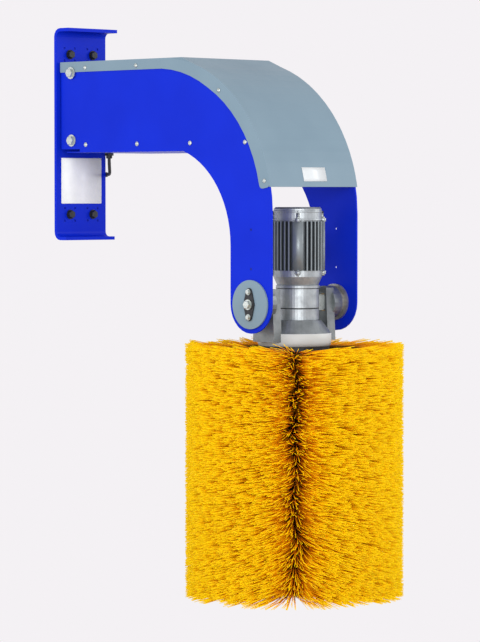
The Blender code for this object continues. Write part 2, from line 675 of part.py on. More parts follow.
def hood_lip_outline():
    """Return the outline of the hood's lip in X and Z.

    Its height grows from the straight part's to the bend's over the first stretch of the bend,
    and both corners of its lower end are rounded.
    """
    outer = hood_outer_radius()
    top = BEND_Z + outer
    corner = HOOD_CORNER_RADIUS
    corner_angle = HOOD_FOOT_ANGLE + corner / outer
    points = [(HOOD_WALL_END_X, top)]
    points += arc(BEND_X, BEND_Z, outer, math.pi / 2, corner_angle, ARC_STEPS)
    for step in range(1, CORNER_STEPS + 1):
        share = math.pi / 2 * step / CORNER_STEPS
        points.append(on_bend(outer - corner * (1 - math.cos(share)),
                              corner_angle - corner * math.sin(share) / outer))
    for step in range(CORNER_STEPS + 1):
        share = math.pi / 2 * step / CORNER_STEPS
        points.append(on_bend(outer - HOOD_LIP_BEND + corner * (1 - math.sin(share)),
                              corner_angle - corner * math.cos(share) / outer))
    for step in range(1, ARC_STEPS + 1):
        angle = corner_angle + (math.pi / 2 - corner_angle) * step / ARC_STEPS
        spread = min((math.pi / 2 - angle) / (math.pi / 2 - HOOD_LIP_SPREAD_ANGLE), 1)
        height = HOOD_LIP_STRAIGHT + (HOOD_LIP_BEND - HOOD_LIP_STRAIGHT) * spread
        points.append(on_bend(outer - height, angle))
    foot = top - HOOD_LIP_STRAIGHT
    points += [(HOOD_WALL_END_X + HOOD_THICKNESS, foot), (HOOD_WALL_END_X, foot + HOOD_THICKNESS)]
    return points


def on_bend(radius, angle):
    """Return the X and Z of a point at a radius and angle about the bend's centre."""
    return BEND_X + radius * math.cos(angle), BEND_Z + radius * math.sin(angle)


def make_hood():
    """Sheet over the arm, fused with its two outside lips."""
    left = ARM_LEFT_Y - SEAT_GAP - HOOD_THICKNESS
    right = ARM_RIGHT_Y + SEAT_GAP + HOOD_THICKNESS
    hood = add_piece("hood", extruded(hood_sheet_profile(), right - left), Finish.GREY_PAINT,
                     place=at(0, right, 0, UPRIGHT))
    lips = []
    for side, y in ((Side.LEFT, left + HOOD_THICKNESS), (Side.RIGHT, right)):
        shape = extruded(hood_lip_outline(), HOOD_THICKNESS)
        lips.append(add_piece(f"hood_lip_{side.label}", shape, Finish.GREY_PAINT,
                              place=at(0, y, 0, UPRIGHT)))
    fuse(hood, lips)
    cut(hood, [drill_across("hood_bolt_cutter", arm_bolt_places(),
                            ARM_BOLT_RADIUS + RADIAL_GAP)])


def make_pan():
    """Tray under the arm with upturned sides and a hole for the cable gland."""
    outer_left = ARM_LEFT_Y + PLATE_THICKNESS + SEAT_GAP
    outer_right = ARM_RIGHT_Y - PLATE_THICKNESS - SEAT_GAP
    floor = ARM_UNDERSIDE_Z
    skin = PAN_THICKNESS
    end_x = THROAT_X + THROAT_RADIUS * math.cos(THROAT_START_ANGLE)
    # Section across the arm: Y across and Z up
    section = [(outer_left, floor), (outer_right, floor), (outer_right, floor + PAN_SIDE_HEIGHT),
               (outer_right - skin, floor + PAN_SIDE_HEIGHT), (outer_right - skin, floor + skin),
               (outer_left + skin, floor + skin), (outer_left + skin, floor + PAN_SIDE_HEIGHT),
               (outer_left, floor + PAN_SIDE_HEIGHT)]
    pan = add_piece("underside_pan", extruded(section, end_x - PAN_START_X), Finish.BLUE_PAINT,
                    place=at(PAN_START_X, 0, 0, ALONG_ARM))
    # The sides stop short of the channel, and only the floor runs on under it
    channel_front = BRACKET_THICKNESS + SEAT_GAP + CHANNEL_REACH + RUNNING_GAP
    relief = extruded([(PAN_START_X - CUT_OVERRUN, outer_left - CUT_OVERRUN),
                       (channel_front, outer_left - CUT_OVERRUN),
                       (channel_front, outer_right + CUT_OVERRUN),
                       (PAN_START_X - CUT_OVERRUN, outer_right + CUT_OVERRUN)], PAN_SIDE_HEIGHT)
    cut(pan, [
        add_piece("pan_relief_cutter", relief, Finish.DARK_STEEL, place=at(0, 0, floor + skin)),
        drill("pan_gland_cutter", [(CABLE_X, CABLE_Y)], GLAND_THREAD_RADIUS + RADIAL_GAP,
              floor - CUT_OVERRUN, floor + skin + CUT_OVERRUN),
    ])


def make_spacer():
    """Tube between the side plates, inside the bend."""
    length = ARM_WIDTH - 2 * (PLATE_THICKNESS + SEAT_GAP)
    add_piece("bend_spacer", ring(SPACER_BORE, SPACER_RADIUS, 0, length, HOLE_SEGMENTS),
              Finish.BLUE_PAINT, place=at(PIVOT_X - SPACER_REACH,
                                          ARM_LEFT_Y + PLATE_THICKNESS + SEAT_GAP, SPACER_Z,
                                          TO_RIGHT))


def lock_plate_outline():
    """Return the lozenge of the lock plate: a waist circle and two end circles, with tangents."""
    tangent = math.acos((LOCK_PLATE_WAIST - LOCK_PLATE_END) / LOCK_BOLT_OFFSET)
    top, right = math.pi / 2, 0
    points = arc(0, LOCK_BOLT_OFFSET, LOCK_PLATE_END, top - tangent, top + tangent, CORNER_STEPS)
    points += arc(0, 0, LOCK_PLATE_WAIST, top + tangent, 3 * top - tangent, CORNER_STEPS)
    points += arc(0, -LOCK_BOLT_OFFSET, LOCK_PLATE_END, 3 * top - tangent, 3 * top + tangent,
                  CORNER_STEPS)
    points += arc(0, 0, LOCK_PLATE_WAIST, tangent - top, right + top - tangent, CORNER_STEPS)
    return points


def lock_holes(centre_radius, gap):
    """Return the three holes that the pin or its bolts pass through."""
    holes = [circle(0, 0, centre_radius + gap, BORE_SEGMENTS)]
    for rise in (-LOCK_BOLT_OFFSET, LOCK_BOLT_OFFSET):
        holes.append(circle(0, rise, LOCK_BOLT_RADIUS + gap, HOLE_SEGMENTS))
    return holes


def make_pivot(side):
    """Fixed half of one swing pivot: pin, disc, lock plate, bolts, bearing and inner nut.

    Heights run outward from the outer face of the side plate.
    """
    def pivot_piece(name, shape, finish, height=0, x=0, y=0):
        place = at(PIVOT_X, side.outer_y, PIVOT_Z, side.outward) @ Matrix.Translation((x, y, height))
        add_piece(f"{name}_{side.label}", shape, finish, place=place)

    disc_top = SEAT_GAP + PIVOT_DISC_THICKNESS
    lock_foot = disc_top + SEAT_GAP
    head_seat = lock_foot + LOCK_PLATE_THICKNESS + SEAT_GAP
    bearing_top = -PLATE_THICKNESS - SEAT_GAP
    bearing_foot = bearing_top - BEARING_LENGTH
    nut_top = bearing_foot - 2 * RUNNING_GAP - HUB_LENGTH - YOKE_WEB
    pin_foot = nut_top - PIVOT_NUT_THICKNESS - SEAT_GAP
    bore = CENTRE_BOLT_RADIUS + RADIAL_GAP
    bore_floor = disc_top - CENTRE_BOLT_DEPTH

    disc = extruded(circle(0, 0, PIVOT_DISC_RADIUS, 2 * ROUND_SEGMENTS), PIVOT_DISC_THICKNESS,
                    lock_holes(PIN_RADIUS, RADIAL_GAP))
    pivot_piece("pivot_disc", disc, Finish.GREY_PAINT, SEAT_GAP)
    lock = extruded(lock_plate_outline(), LOCK_PLATE_THICKNESS,
                    lock_holes(CENTRE_BOLT_RADIUS, RADIAL_GAP))
    pivot_piece("lock_plate", lock, Finish.DARK_STEEL, lock_foot)
    pin = turned([(0, pin_foot), (PIN_RADIUS, pin_foot), (PIN_RADIUS, disc_top),
                  (bore, disc_top), (bore, bore_floor), (0, bore_floor)])
    pivot_piece("pivot_pin", pin, Finish.ZINC)
    centre = bolt_shape(CENTRE_BOLT_RADIUS, bore_floor + SEAT_GAP - head_seat,
                        CENTRE_WASHER_RADIUS, CENTRE_WASHER_THICKNESS, CENTRE_HEAD_RADIUS,
                        CENTRE_HEAD_HEIGHT)
    pivot_piece("pivot_bolt", centre, Finish.ZINC, head_seat)
    for level, rise in (("upper", LOCK_BOLT_OFFSET), ("lower", -LOCK_BOLT_OFFSET)):
        small = bolt_shape(LOCK_BOLT_RADIUS, -PLATE_THICKNESS - head_seat, LOCK_WASHER_RADIUS,
                           LOCK_WASHER_THICKNESS, LOCK_HEAD_RADIUS, LOCK_HEAD_HEIGHT)
        # Drawn Y points down on the right side
        pivot_piece(f"lock_bolt_{level}", small, Finish.ZINC, head_seat, 0, -side.value * rise)
    bearing = turned([(PIN_RADIUS + RADIAL_GAP, bearing_foot), (BEARING_BOSS_RADIUS, bearing_foot),
                      (BEARING_BOSS_RADIUS, bearing_top - BEARING_FLANGE_THICKNESS),
                      (BEARING_FLANGE_RADIUS, bearing_top - BEARING_FLANGE_THICKNESS),
                      (BEARING_FLANGE_RADIUS, bearing_top), (PIN_RADIUS + RADIAL_GAP, bearing_top)])
    pivot_piece("pivot_bearing", bearing, Finish.DARK_STEEL)
    nut = extruded(circle(0, 0, PIVOT_NUT_RADIUS, 6), PIVOT_NUT_THICKNESS,
                   [circle(0, 0, PIN_RADIUS + RADIAL_GAP, BORE_SEGMENTS)])
    pivot_piece("pivot_nut", nut, Finish.ZINC, nut_top - PIVOT_NUT_THICKNESS)


def yoke_arm(side, pivot):
    """Upright arm of the yoke: a tapered casting with a recess on its inner face."""
    outer_y = HUB_FACE_Y - HUB_LENGTH
    outline = [(-YOKE_ARM_HALF_FOOT, YOKE_ARM_FOOT), (YOKE_ARM_HALF_FOOT, YOKE_ARM_FOOT),
               (YOKE_ARM_HALF_TOP, YOKE_ARM_TOP), (-YOKE_ARM_HALF_TOP, YOKE_ARM_TOP)]
    shape = extruded(outline, YOKE_ARM_DEPTH)
    shape.faces.ensure_lookup_table()
    # The drawn depth runs to -Y, so the right arm's inner face is the far one
    inner_height = YOKE_ARM_DEPTH if side is Side.RIGHT else 0
    cap = next(face for face in shape.faces
               if all(abs(corner.co.z - inner_height) < SEAT_GAP for corner in face.verts))
    bmesh.ops.inset_region(shape, faces=[cap], thickness=YOKE_RIB, use_even_offset=True)
    pushed = bmesh.ops.extrude_face_region(shape, geom=[cap])
    moved = [item for item in pushed["geom"] if isinstance(item, bmesh.types.BMVert)]
    inward = (YOKE_WEB - YOKE_ARM_DEPTH) * (1 if side is Side.RIGHT else -1)
    bmesh.ops.translate(shape, verts=moved, vec=(0, 0, inward))
    bmesh.ops.delete(shape, geom=[cap] if cap.is_valid else [], context="FACES_ONLY")
    right_face = outer_y if side is Side.RIGHT else YOKE_ARM_DEPTH - outer_y
    return add_piece(f"yoke_arm_{side.label}", shape, Finish.CAST_ALUMINIUM, pivot,
                     at(0, right_face, 0, UPRIGHT))


def yoke_foot(side, pivot):
    """Bar that joins the dish to the foot of an upright arm."""
    start = DISH_SEAT_RADIUS
    end = HUB_FACE_Y - HUB_LENGTH - YOKE_WEB / 2
    outline = [(-YOKE_FOOT_HALF, side.value * start), (YOKE_FOOT_HALF, side.value * start),
               (YOKE_FOOT_HALF, side.value * end), (-YOKE_FOOT_HALF, side.value * end)]
    return add_piece(f"yoke_foot_{side.label}", extruded(outline, YOKE_FOOT_HIGH - YOKE_FOOT_LOW),
                     Finish.CAST_ALUMINIUM, pivot, at(0, 0, YOKE_FOOT_LOW))


def yoke_hub(side, pivot):
    """Hub of the yoke, from its outer face through the upright arm's web."""
    shape = turned([(0, 0), (HUB_RADIUS, 0), (HUB_RADIUS, HUB_LENGTH + YOKE_WEB),
                    (0, HUB_LENGTH + YOKE_WEB)])
    low = HUB_FACE_Y - HUB_LENGTH - YOKE_WEB
    return add_piece(f"yoke_hub_{side.label}", shape, Finish.CAST_ALUMINIUM, pivot,
                     at(0, side.value * low, 0, side.outward))


def make_yoke(pivot):
    """Cast dish with its two arms and hubs, and the bushes in the hubs."""
    dish = turned([(DISH_BORE_RADIUS, DISH_BASE_Z), (DISH_BASE_RADIUS, DISH_BASE_Z),
                   (DISH_RIM_RADIUS, DISH_RIM_FOOT_Z), (DISH_RIM_RADIUS, DISH_RIM_TOP_Z),
                   (DISH_SEAT_RADIUS, DISH_SEAT_Z), (DISH_BORE_RADIUS, DISH_SEAT_Z)],
                  2 * ROUND_SEGMENTS)
    yoke = add_piece("swing_yoke", dish, Finish.CAST_ALUMINIUM, pivot)
    fuse(yoke, [yoke_arm(side, pivot) for side in Side])
    fuse(yoke, [yoke_foot(side, pivot) for side in Side])
    fuse(yoke, [yoke_hub(side, pivot) for side in Side])
    bore_length = HUB_FACE_Y + CUT_OVERRUN
    bores = []
    for side in Side:
        start = HUB_FACE_Y - HUB_LENGTH - YOKE_WEB - CUT_OVERRUN
        bores.append(drill(f"hub_bore_cutter_{side.label}", [(0, 0)],
                           BUSH_OUTER_RADIUS + RADIAL_GAP, start, bore_length, pivot,
                           at(0, 0, 0, side.outward), BORE_SEGMENTS))
        bush = ring(PIN_RADIUS + RADIAL_GAP, BUSH_OUTER_RADIUS,
                    HUB_FACE_Y - HUB_LENGTH - YOKE_WEB + SEAT_GAP, HUB_FACE_Y - SEAT_GAP)
        add_piece(f"pivot_bush_{side.label}", bush, Finish.BRONZE, pivot,
                  at(0, 0, 0, side.outward))
    cut(yoke, bores)
    bearing = ring(SHAFT_RADIUS + RADIAL_GAP, DISH_BORE_RADIUS - RADIAL_GAP, SHAFT_BEARING_Z,
                   SHAFT_BEARING_Z + SHAFT_BEARING_WIDTH)
    add_piece("shaft_bearing", bearing, Finish.ZINC, pivot)


def make_gear_case(motor_axis):
    """Lower and upper gear case, solid but for the bores that the shafts run in."""
    radius, edge = GEAR_CASE_RADIUS, GEAR_CASE_EDGE
    foot = DISH_SEAT_Z + SEAT_GAP
    lower = turned([(0, foot), (radius, foot), (radius, GEAR_SPLIT_Z - edge),
                    (radius - edge, GEAR_SPLIT_Z), (0, GEAR_SPLIT_Z)], 2 * ROUND_SEGMENTS)
    case = add_piece("gear_case_lower", lower, Finish.CAST_ALUMINIUM, motor_axis)
    bore = drill("gear_case_bore_cutter", [(0, -MOTOR_OFFSET_Y)], SHAFT_RADIUS + RUNNING_GAP,
                 foot - CUT_OVERRUN, SHAFT_TOP_Z + RUNNING_GAP, motor_axis,
                 segments=BORE_SEGMENTS)
    cut(case, [bore])
    upper_foot = GEAR_SPLIT_Z + SEAT_GAP
    shaft_bore = ROTOR_SHAFT_RADIUS + RUNNING_GAP
    floor = GEAR_TOP_Z - ROTOR_SHAFT_DEPTH - RUNNING_GAP
    upper = turned([(0, upper_foot), (radius - edge, upper_foot), (radius, upper_foot + edge),
                    (radius, GEAR_TOP_Z - edge), (radius - edge, GEAR_TOP_Z),
                    (shaft_bore, GEAR_TOP_Z), (shaft_bore, floor), (0, floor)],
                   2 * ROUND_SEGMENTS)
    add_piece("gear_case_upper", upper, Finish.CAST_ALUMINIUM, motor_axis)


def finned_outline():
    """Return the motor housing's outline: fins all round but for a flat pad facing the wall."""
    pad_half = math.pi * FIN_PAD_SHARE
    pad_x = -MOTOR_PAD_REACH
    points = [(pad_x, pad_x * math.tan(-pad_half)), (pad_x, pad_x * math.tan(pad_half))]
    pitch = 2 * (math.pi - pad_half) / FIN_COUNT
    for fin in range(FIN_COUNT):
        middle = -math.pi + pad_half + pitch * (fin + 1 / 2)
        half = pitch * FIN_THICKNESS_SHARE / 2
        for radius, angle in ((MOTOR_SHELL_RADIUS, middle - half * 1.25),
                              (MOTOR_FIN_RADIUS, middle - half * 0.8),
                              (MOTOR_FIN_RADIUS, middle + half * 0.8),
                              (MOTOR_SHELL_RADIUS, middle + half * 1.25)):
            points.append((radius * math.cos(angle), radius * math.sin(angle)))
    return points


def make_motor(motor_axis):
    """Motor: end shield, finned housing, cap, stator, bearings and terminal box."""
    hole = ROTOR_SHAFT_RADIUS + RUNNING_GAP
    pocket = MOTOR_BEARING_RADIUS + RADIAL_GAP
    half_bearing = MOTOR_BEARING_WIDTH / 2
    shield_top = SHIELD_FOOT_Z + SHIELD_HEIGHT
    flange_top = SHIELD_FOOT_Z + SHIELD_FLANGE_HEIGHT
    shield = turned([
        (hole, SHIELD_FOOT_Z), (SHIELD_FLANGE_RADIUS, SHIELD_FOOT_Z),
        (SHIELD_FLANGE_RADIUS, flange_top), (SHIELD_NECK_RADIUS, flange_top),
        (SHIELD_TOP_RADIUS, shield_top - SHIELD_BAND_HEIGHT), (SHIELD_TOP_RADIUS, shield_top),
        (SHIELD_TOP_RADIUS - SHIELD_WALL, shield_top),
        (SHIELD_NECK_RADIUS - SHIELD_WALL, LOWER_BEARING_Z + half_bearing),
        (pocket, LOWER_BEARING_Z + half_bearing),
        (pocket, LOWER_BEARING_Z - half_bearing - SEAT_GAP),
        (hole, LOWER_BEARING_Z - half_bearing - SEAT_GAP),
    ], 2 * ROUND_SEGMENTS)
    add_piece("motor_end_shield", shield, Finish.CAST_ALUMINIUM, motor_axis)
    housing = extruded(finned_outline(), MOTOR_HEIGHT,
                       [circle(0, 0, MOTOR_BORE_RADIUS, 2 * ROUND_SEGMENTS)])
    add_piece("motor_housing", housing, Finish.CAST_ALUMINIUM, motor_axis, at(0, 0, MOTOR_FOOT_Z))
    boss_foot = CAP_TOP_Z - CAP_TOP_THICKNESS - MOTOR_BEARING_WIDTH - SEAT_GAP
    ceiling = CAP_TOP_Z - CAP_TOP_THICKNESS
    cap = turned([
        (CAP_RADIUS - CAP_WALL, CAP_FOOT_Z), (CAP_RADIUS, CAP_FOOT_Z),
        (CAP_RADIUS, CAP_TOP_Z - CAP_EDGE), (CAP_RADIUS - CAP_EDGE, CAP_TOP_Z), (0, CAP_TOP_Z),
        (0, ceiling), (pocket, ceiling), (pocket, boss_foot), (CAP_BOSS_RADIUS, boss_foot),
        (CAP_BOSS_RADIUS, ceiling), (CAP_RADIUS - CAP_WALL, ceiling),
    ], 2 * ROUND_SEGMENTS)
    add_piece("motor_cap", cap, Finish.CAST_ALUMINIUM, motor_axis)
    middle = (MOTOR_FOOT_Z + MOTOR_TOP_Z) / 2
    half_stator = MOTOR_HEIGHT * STATOR_LENGTH_SHARE / 2
    add_piece("motor_stator", ring(STATOR_BORE_RADIUS, MOTOR_BORE_RADIUS - RADIAL_GAP,
                                   middle - half_stator, middle + half_stator),
              Finish.LAMINATION, motor_axis)
    for label, low in (("lower", LOWER_BEARING_Z - half_bearing),
                       ("upper", UPPER_BEARING_Z - MOTOR_BEARING_WIDTH)):
        bearing = ring(ROTOR_SHAFT_RADIUS + RADIAL_GAP, MOTOR_BEARING_RADIUS, low,
                       low + MOTOR_BEARING_WIDTH)
        add_piece(f"motor_bearing_{label}", bearing, Finish.ZINC, motor_axis)
    half_width, half_height = TERMINAL_BOX_WIDTH / 2, TERMINAL_BOX_HEIGHT / 2
    chamfer = TERMINAL_BOX_CHAMFER
    outline = [(half_height, half_width - chamfer), (half_height - chamfer, half_width),
               (chamfer - half_height, half_width), (-half_height, half_width - chamfer),
               (-half_height, chamfer - half_width), (chamfer - half_height, -half_width),
               (half_height - chamfer, -half_width), (half_height, chamfer - half_width)]
    add_piece("terminal_box", extruded(outline, TERMINAL_BOX_DEPTH), Finish.CAST_ALUMINIUM,
              motor_axis, at(-MOTOR_PAD_REACH - SEAT_GAP, 0, middle, TO_WALL))


def make_rotor(motor_axis):
    """Motor shaft with its rotor core, from inside the gear case up to the cap's bearing."""
    foot = GEAR_TOP_Z - ROTOR_SHAFT_DEPTH
    top = UPPER_BEARING_Z - RUNNING_GAP
    middle = (MOTOR_FOOT_Z + MOTOR_TOP_Z) / 2
    half_core = MOTOR_HEIGHT * ROTOR_CORE_LENGTH_SHARE / 2
    rotor = turned([(0, foot), (ROTOR_SHAFT_RADIUS, foot),
                    (ROTOR_SHAFT_RADIUS, middle - half_core),
                    (ROTOR_CORE_RADIUS, middle - half_core),
                    (ROTOR_CORE_RADIUS, middle + half_core),
                    (ROTOR_SHAFT_RADIUS, middle + half_core), (ROTOR_SHAFT_RADIUS, top),
                    (0, top)])
    add_piece("motor_rotor", rotor, Finish.LAMINATION, motor_axis)


def make_brush(brush_axis):
    """Everything that turns under the dish: shaft, flange, tube, two halves and their clamp."""
    inside = SHAFT_RADIUS + RADIAL_GAP
    rod_bore = TIE_ROD_RADIUS + RADIAL_GAP
    shaft = turned([(rod_bore, SHAFT_FOOT_Z), (SHAFT_RADIUS, SHAFT_FOOT_Z),
                    (SHAFT_RADIUS, SHAFT_TOP_Z), (0, SHAFT_TOP_Z),
                    (0, SHAFT_FOOT_Z + TIE_ROD_ENGAGEMENT),
                    (rod_bore, SHAFT_FOOT_Z + TIE_ROD_ENGAGEMENT)])
    add_piece("output_shaft", shaft, Finish.ZINC, brush_axis)
    boss_radius = TUBE_RADIUS - TUBE_WALL - RADIAL_GAP
    boss_foot = FLANGE_FOOT_Z - FLANGE_BOSS_LENGTH
    flange = turned([(inside, boss_foot), (boss_radius, boss_foot), (boss_radius, FLANGE_FOOT_Z),
                     (FLANGE_RADIUS, FLANGE_FOOT_Z), (FLANGE_RADIUS, FLANGE_TOP_Z),
                     (inside, FLANGE_TOP_Z)], 2 * ROUND_SEGMENTS)
    add_piece("brush_flange", flange, Finish.DARK_STEEL, brush_axis)
    tube = ring(TUBE_RADIUS - TUBE_WALL, TUBE_RADIUS, TUBE_FOOT_Z, BRUSH_TOP_Z,
                2 * ROUND_SEGMENTS)
    add_piece("brush_tube", tube, Finish.DARK_STEEL, brush_axis)
    core = TUBE_RADIUS + SEAT_GAP
    recess = END_PLATE_RADIUS + RUNNING_GAP
    profile = [(core, TUBE_FOOT_Z), (recess, TUBE_FOOT_Z), (recess, BRISTLE_FOOT_Z),
               (BRISTLE_RADIUS, BRISTLE_FOOT_Z), (BRISTLE_RADIUS, BRISTLE_RIM_TOP_Z),
               (FLANGE_RADIUS + RUNNING_GAP, BRUSH_TOP_Z), (core, BRUSH_TOP_Z)]
    for label, turn in (("left", SEAM_AZIMUTH - math.pi), ("right", SEAM_AZIMUTH)):
        half = turned(profile, HALF_STEPS, math.pi, turn)
        away = turn + math.pi / 2
        shift = BRISTLE_SEAM / 2
        bmesh.ops.translate(half, verts=half.verts,
                            vec=(shift * math.cos(away), shift * math.sin(away), 0))
        add_piece(f"brush_half_{label}", half, Finish.YELLOW_BRISTLE, brush_axis)
    plate_top = TUBE_FOOT_Z - SEAT_GAP
    plate_foot = plate_top - END_PLATE_THICKNESS
    plug_top = TUBE_FOOT_Z + END_PLATE_BOSS_LENGTH
    plate = turned([(rod_bore, plate_foot), (END_PLATE_RADIUS, plate_foot),
                    (END_PLATE_RADIUS, plate_top), (boss_radius, plate_top),
                    (boss_radius, plug_top), (rod_bore, plug_top)], 2 * ROUND_SEGMENTS)
    add_piece("brush_end_plate", plate, Finish.DARK_STEEL, brush_axis)
    nut_top = plate_foot - SEAT_GAP
    nut_foot = nut_top - END_NUT_HEIGHT
    rod = turned([(0, nut_foot - SEAT_GAP), (TIE_ROD_RADIUS, nut_foot - SEAT_GAP),
                  (TIE_ROD_RADIUS, SHAFT_FOOT_Z + TIE_ROD_ENGAGEMENT - SEAT_GAP),
                  (0, SHAFT_FOOT_Z + TIE_ROD_ENGAGEMENT - SEAT_GAP)], HOLE_SEGMENTS)
    add_piece("tie_rod", rod, Finish.ZINC, brush_axis)
    nut = extruded(circle(0, 0, END_NUT_RADIUS, 6), END_NUT_HEIGHT,
                   [circle(0, 0, rod_bore, HOLE_SEGMENTS)])
    add_piece("tie_rod_nut", nut, Finish.ZINC, brush_axis, at(0, 0, nut_foot))


def catmull_rom(points, samples):
    """Return points of a smooth curve through the given ones."""
    padded = [points[0], *points, points[-1]]
    smooth = []
    for before, start, finish, after in zip(padded, padded[1:], padded[2:], padded[3:]):
        for sample in range(samples):
            t = sample / samples
            smooth.append(((2 * start) + (finish - before) * t
                           + (2 * before - 5 * start + 4 * finish - after) * t ** 2
                           + (3 * start - before - 3 * finish + after) * t ** 3) / 2)
    return smooth + [points[-1]]


def make_cable():
    """Supply cable from the gland in the pan to a grommet on the wall beside the bracket."""
    nut_top = ARM_UNDERSIDE_Z - SEAT_GAP
    nut_foot = nut_top - GLAND_NUT_HEIGHT
    nose_foot = nut_foot - GLAND_NOSE_HEIGHT
    gland = stacked([(GLAND_NOSE_RADIUS - GLAND_EDGE, nose_foot, False),
                     (GLAND_NOSE_RADIUS, nose_foot + GLAND_EDGE, False),
                     (GLAND_NOSE_RADIUS, nut_foot, False), (GLAND_NUT_RADIUS, nut_foot, True),
                     (GLAND_NUT_RADIUS, nut_top, True), (GLAND_THREAD_RADIUS, nut_top, False),
                     (GLAND_THREAD_RADIUS, nut_top + GLAND_THREAD_LENGTH, False)])
    add_piece("cable_gland", gland, Finish.BLACK_RUBBER, place=at(CABLE_X, CABLE_Y, 0))
    route = [Vector((CABLE_X + dx, CABLE_Y + dy, ARM_UNDERSIDE_Z + dz))
             for dx, dy, dz in CABLE_ROUTE]
    curve = bpy.data.curves.new("supply_cable", "CURVE")
    curve.dimensions = "3D"
    curve.bevel_depth = CABLE_RADIUS
    curve.bevel_resolution = CABLE_PROFILE_RESOLUTION
    curve.use_fill_caps = True
    curve.render_resolution_u = 0
    smooth = catmull_rom(route, CABLE_SAMPLES_PER_SPAN)
    spline = curve.splines.new("POLY")
    spline.points.add(len(smooth) - 1)
    for point, position in zip(spline.points, smooth):
        point.co = (*position, 1)
    link("supply_cable", curve, Finish.BLACK_RUBBER)
    grommet = turned([(0, 0), (GROMMET_NECK_RADIUS, 0),
                      (GROMMET_NECK_RADIUS, GROMMET_LENGTH - GROMMET_LIP),
                      (GROMMET_RADIUS, GROMMET_LENGTH - GROMMET_LIP),
                      (GROMMET_RADIUS, GROMMET_LENGTH), (0, GROMMET_LENGTH)])
    add_piece("wall_grommet", grommet, Finish.BLACK_RUBBER,
              place=at(0, BRACKET_WIDTH / 2 + SEAT_GAP + GROMMET_RADIUS,
                       ARM_UNDERSIDE_Z - GROMMET_DROP, FACING_WALL))


def clear_scene():
    """Remove the objects that the file opens with."""
    for existing in list(bpy.data.objects):
        bpy.data.objects.remove(existing, do_unlink=True)


def main():
    clear_scene()
    make_wall_bracket()
    make_wall_bolts()
    make_arm_channel()
    for side in Side:
        make_side_plate(side)
        make_pivot(side)
    make_hood()
    make_pan()
    make_spacer()
    make_cable()
    pivot = add_empty("swing_pivot", (PIVOT_X, ARM_MIDDLE_Y, PIVOT_Z))
    motor_axis = add_empty("motor_axis", (0, MOTOR_OFFSET_Y, 0), pivot)
    brush_axis = add_empty("brush_axis", (0, 0, 0), pivot)
    make_yoke(pivot)
    make_gear_case(motor_axis)
    make_motor(motor_axis)
    make_rotor(motor_axis)
    make_brush(brush_axis)


main()
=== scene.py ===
"""Blender scene of a wall-hung rotating cow brush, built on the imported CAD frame.

The CAD nodes keep their shapes and get procedural finishes. The two bristle blocks are replaced by
a packed mass and single filaments, the cable by a smooth sheath, and small fasteners, ribs, clips,
seals and blank labels are added. Units are metres, in the frame of the model: the origin is the
centre of the wall bracket's back face, +X points away from the wall and +Z up.
"""
import json
import logging
import math
from dataclasses import dataclass
from enum import Enum
from typing import Any, Iterable, Optional, Sequence

import bpy
import numpy as np
from mathutils import Matrix, Vector


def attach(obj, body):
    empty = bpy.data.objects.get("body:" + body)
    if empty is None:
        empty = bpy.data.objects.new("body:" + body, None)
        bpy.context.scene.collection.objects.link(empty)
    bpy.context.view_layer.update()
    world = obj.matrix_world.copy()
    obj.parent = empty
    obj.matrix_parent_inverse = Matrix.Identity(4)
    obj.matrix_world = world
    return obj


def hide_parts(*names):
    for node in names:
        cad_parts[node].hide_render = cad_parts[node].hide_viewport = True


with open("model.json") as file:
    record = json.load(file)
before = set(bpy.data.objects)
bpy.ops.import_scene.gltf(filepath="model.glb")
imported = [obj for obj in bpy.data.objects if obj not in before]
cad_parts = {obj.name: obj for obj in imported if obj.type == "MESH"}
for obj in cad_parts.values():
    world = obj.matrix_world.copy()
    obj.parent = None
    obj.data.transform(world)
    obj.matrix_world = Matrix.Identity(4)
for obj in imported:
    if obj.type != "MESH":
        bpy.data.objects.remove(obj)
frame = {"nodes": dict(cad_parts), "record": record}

LOG = logging.getLogger("cow_brush_scene")

Array = np.ndarray
Pair = tuple[float, float]
Colour = tuple[float, float, float]
Point = tuple[float, float, float]

# Places that repeat the CAD model's values
ARM_LEFT_Y = -0.0687
ARM_RIGHT_Y = 0.2113
LIP_STAND_OFF = 0.0023
PIVOT = Vector((0.660, 0.0713, -0.392))
MOTOR_AXIS = Vector((0.660, 0.0818, -0.392))
BEND_CENTRE = (0.3673, -0.1890)
HOOD_RADIUS = 0.3610
BRACKET_FACE_X = 0.008
SEAM_AZIMUTH = math.radians(-44.5)

QUARTER_AZIMUTHS = tuple(math.radians(angle) for angle in (-45.0, 45.0, 135.0, 225.0))
NO_FACES = np.zeros((0, 3), np.int32)


class Body(Enum):
    """Rigid bodies of the CAD frame that pieces ride on."""

    ARM = "arm"
    SWING = "swing"
    BRUSH = "brush"


class Slot(Enum):
    """Material slots of the record."""

    BLUE = "blue_paint"
    GREY = "grey_paint"
    CAST = "cast_aluminium"
    DARK = "dark_steel"
    ZINC = "zinc"
    RUBBER = "black_rubber"
    BRONZE = "bronze"
    LAMINATION = "lamination"
    BRISTLE = "bristle"


class Side(Enum):
    """Sides of the arm: Y of the side plate's outer face, and the sign of outward Y."""

    LEFT = (ARM_LEFT_Y, -1.0)
    RIGHT = (ARM_RIGHT_Y, 1.0)

    @property
    def label(self) -> str:
        """Return the side's name as it stands in the names of pieces."""
        return self.name.lower()

    @property
    def sign(self) -> float:
        """Return the sign of the outward direction along Y."""
        return self.value[1]

    def outside(self, distance: float) -> float:
        """Return the Y at a distance outside the side plate's outer face."""
        return self.value[0] + self.sign * distance


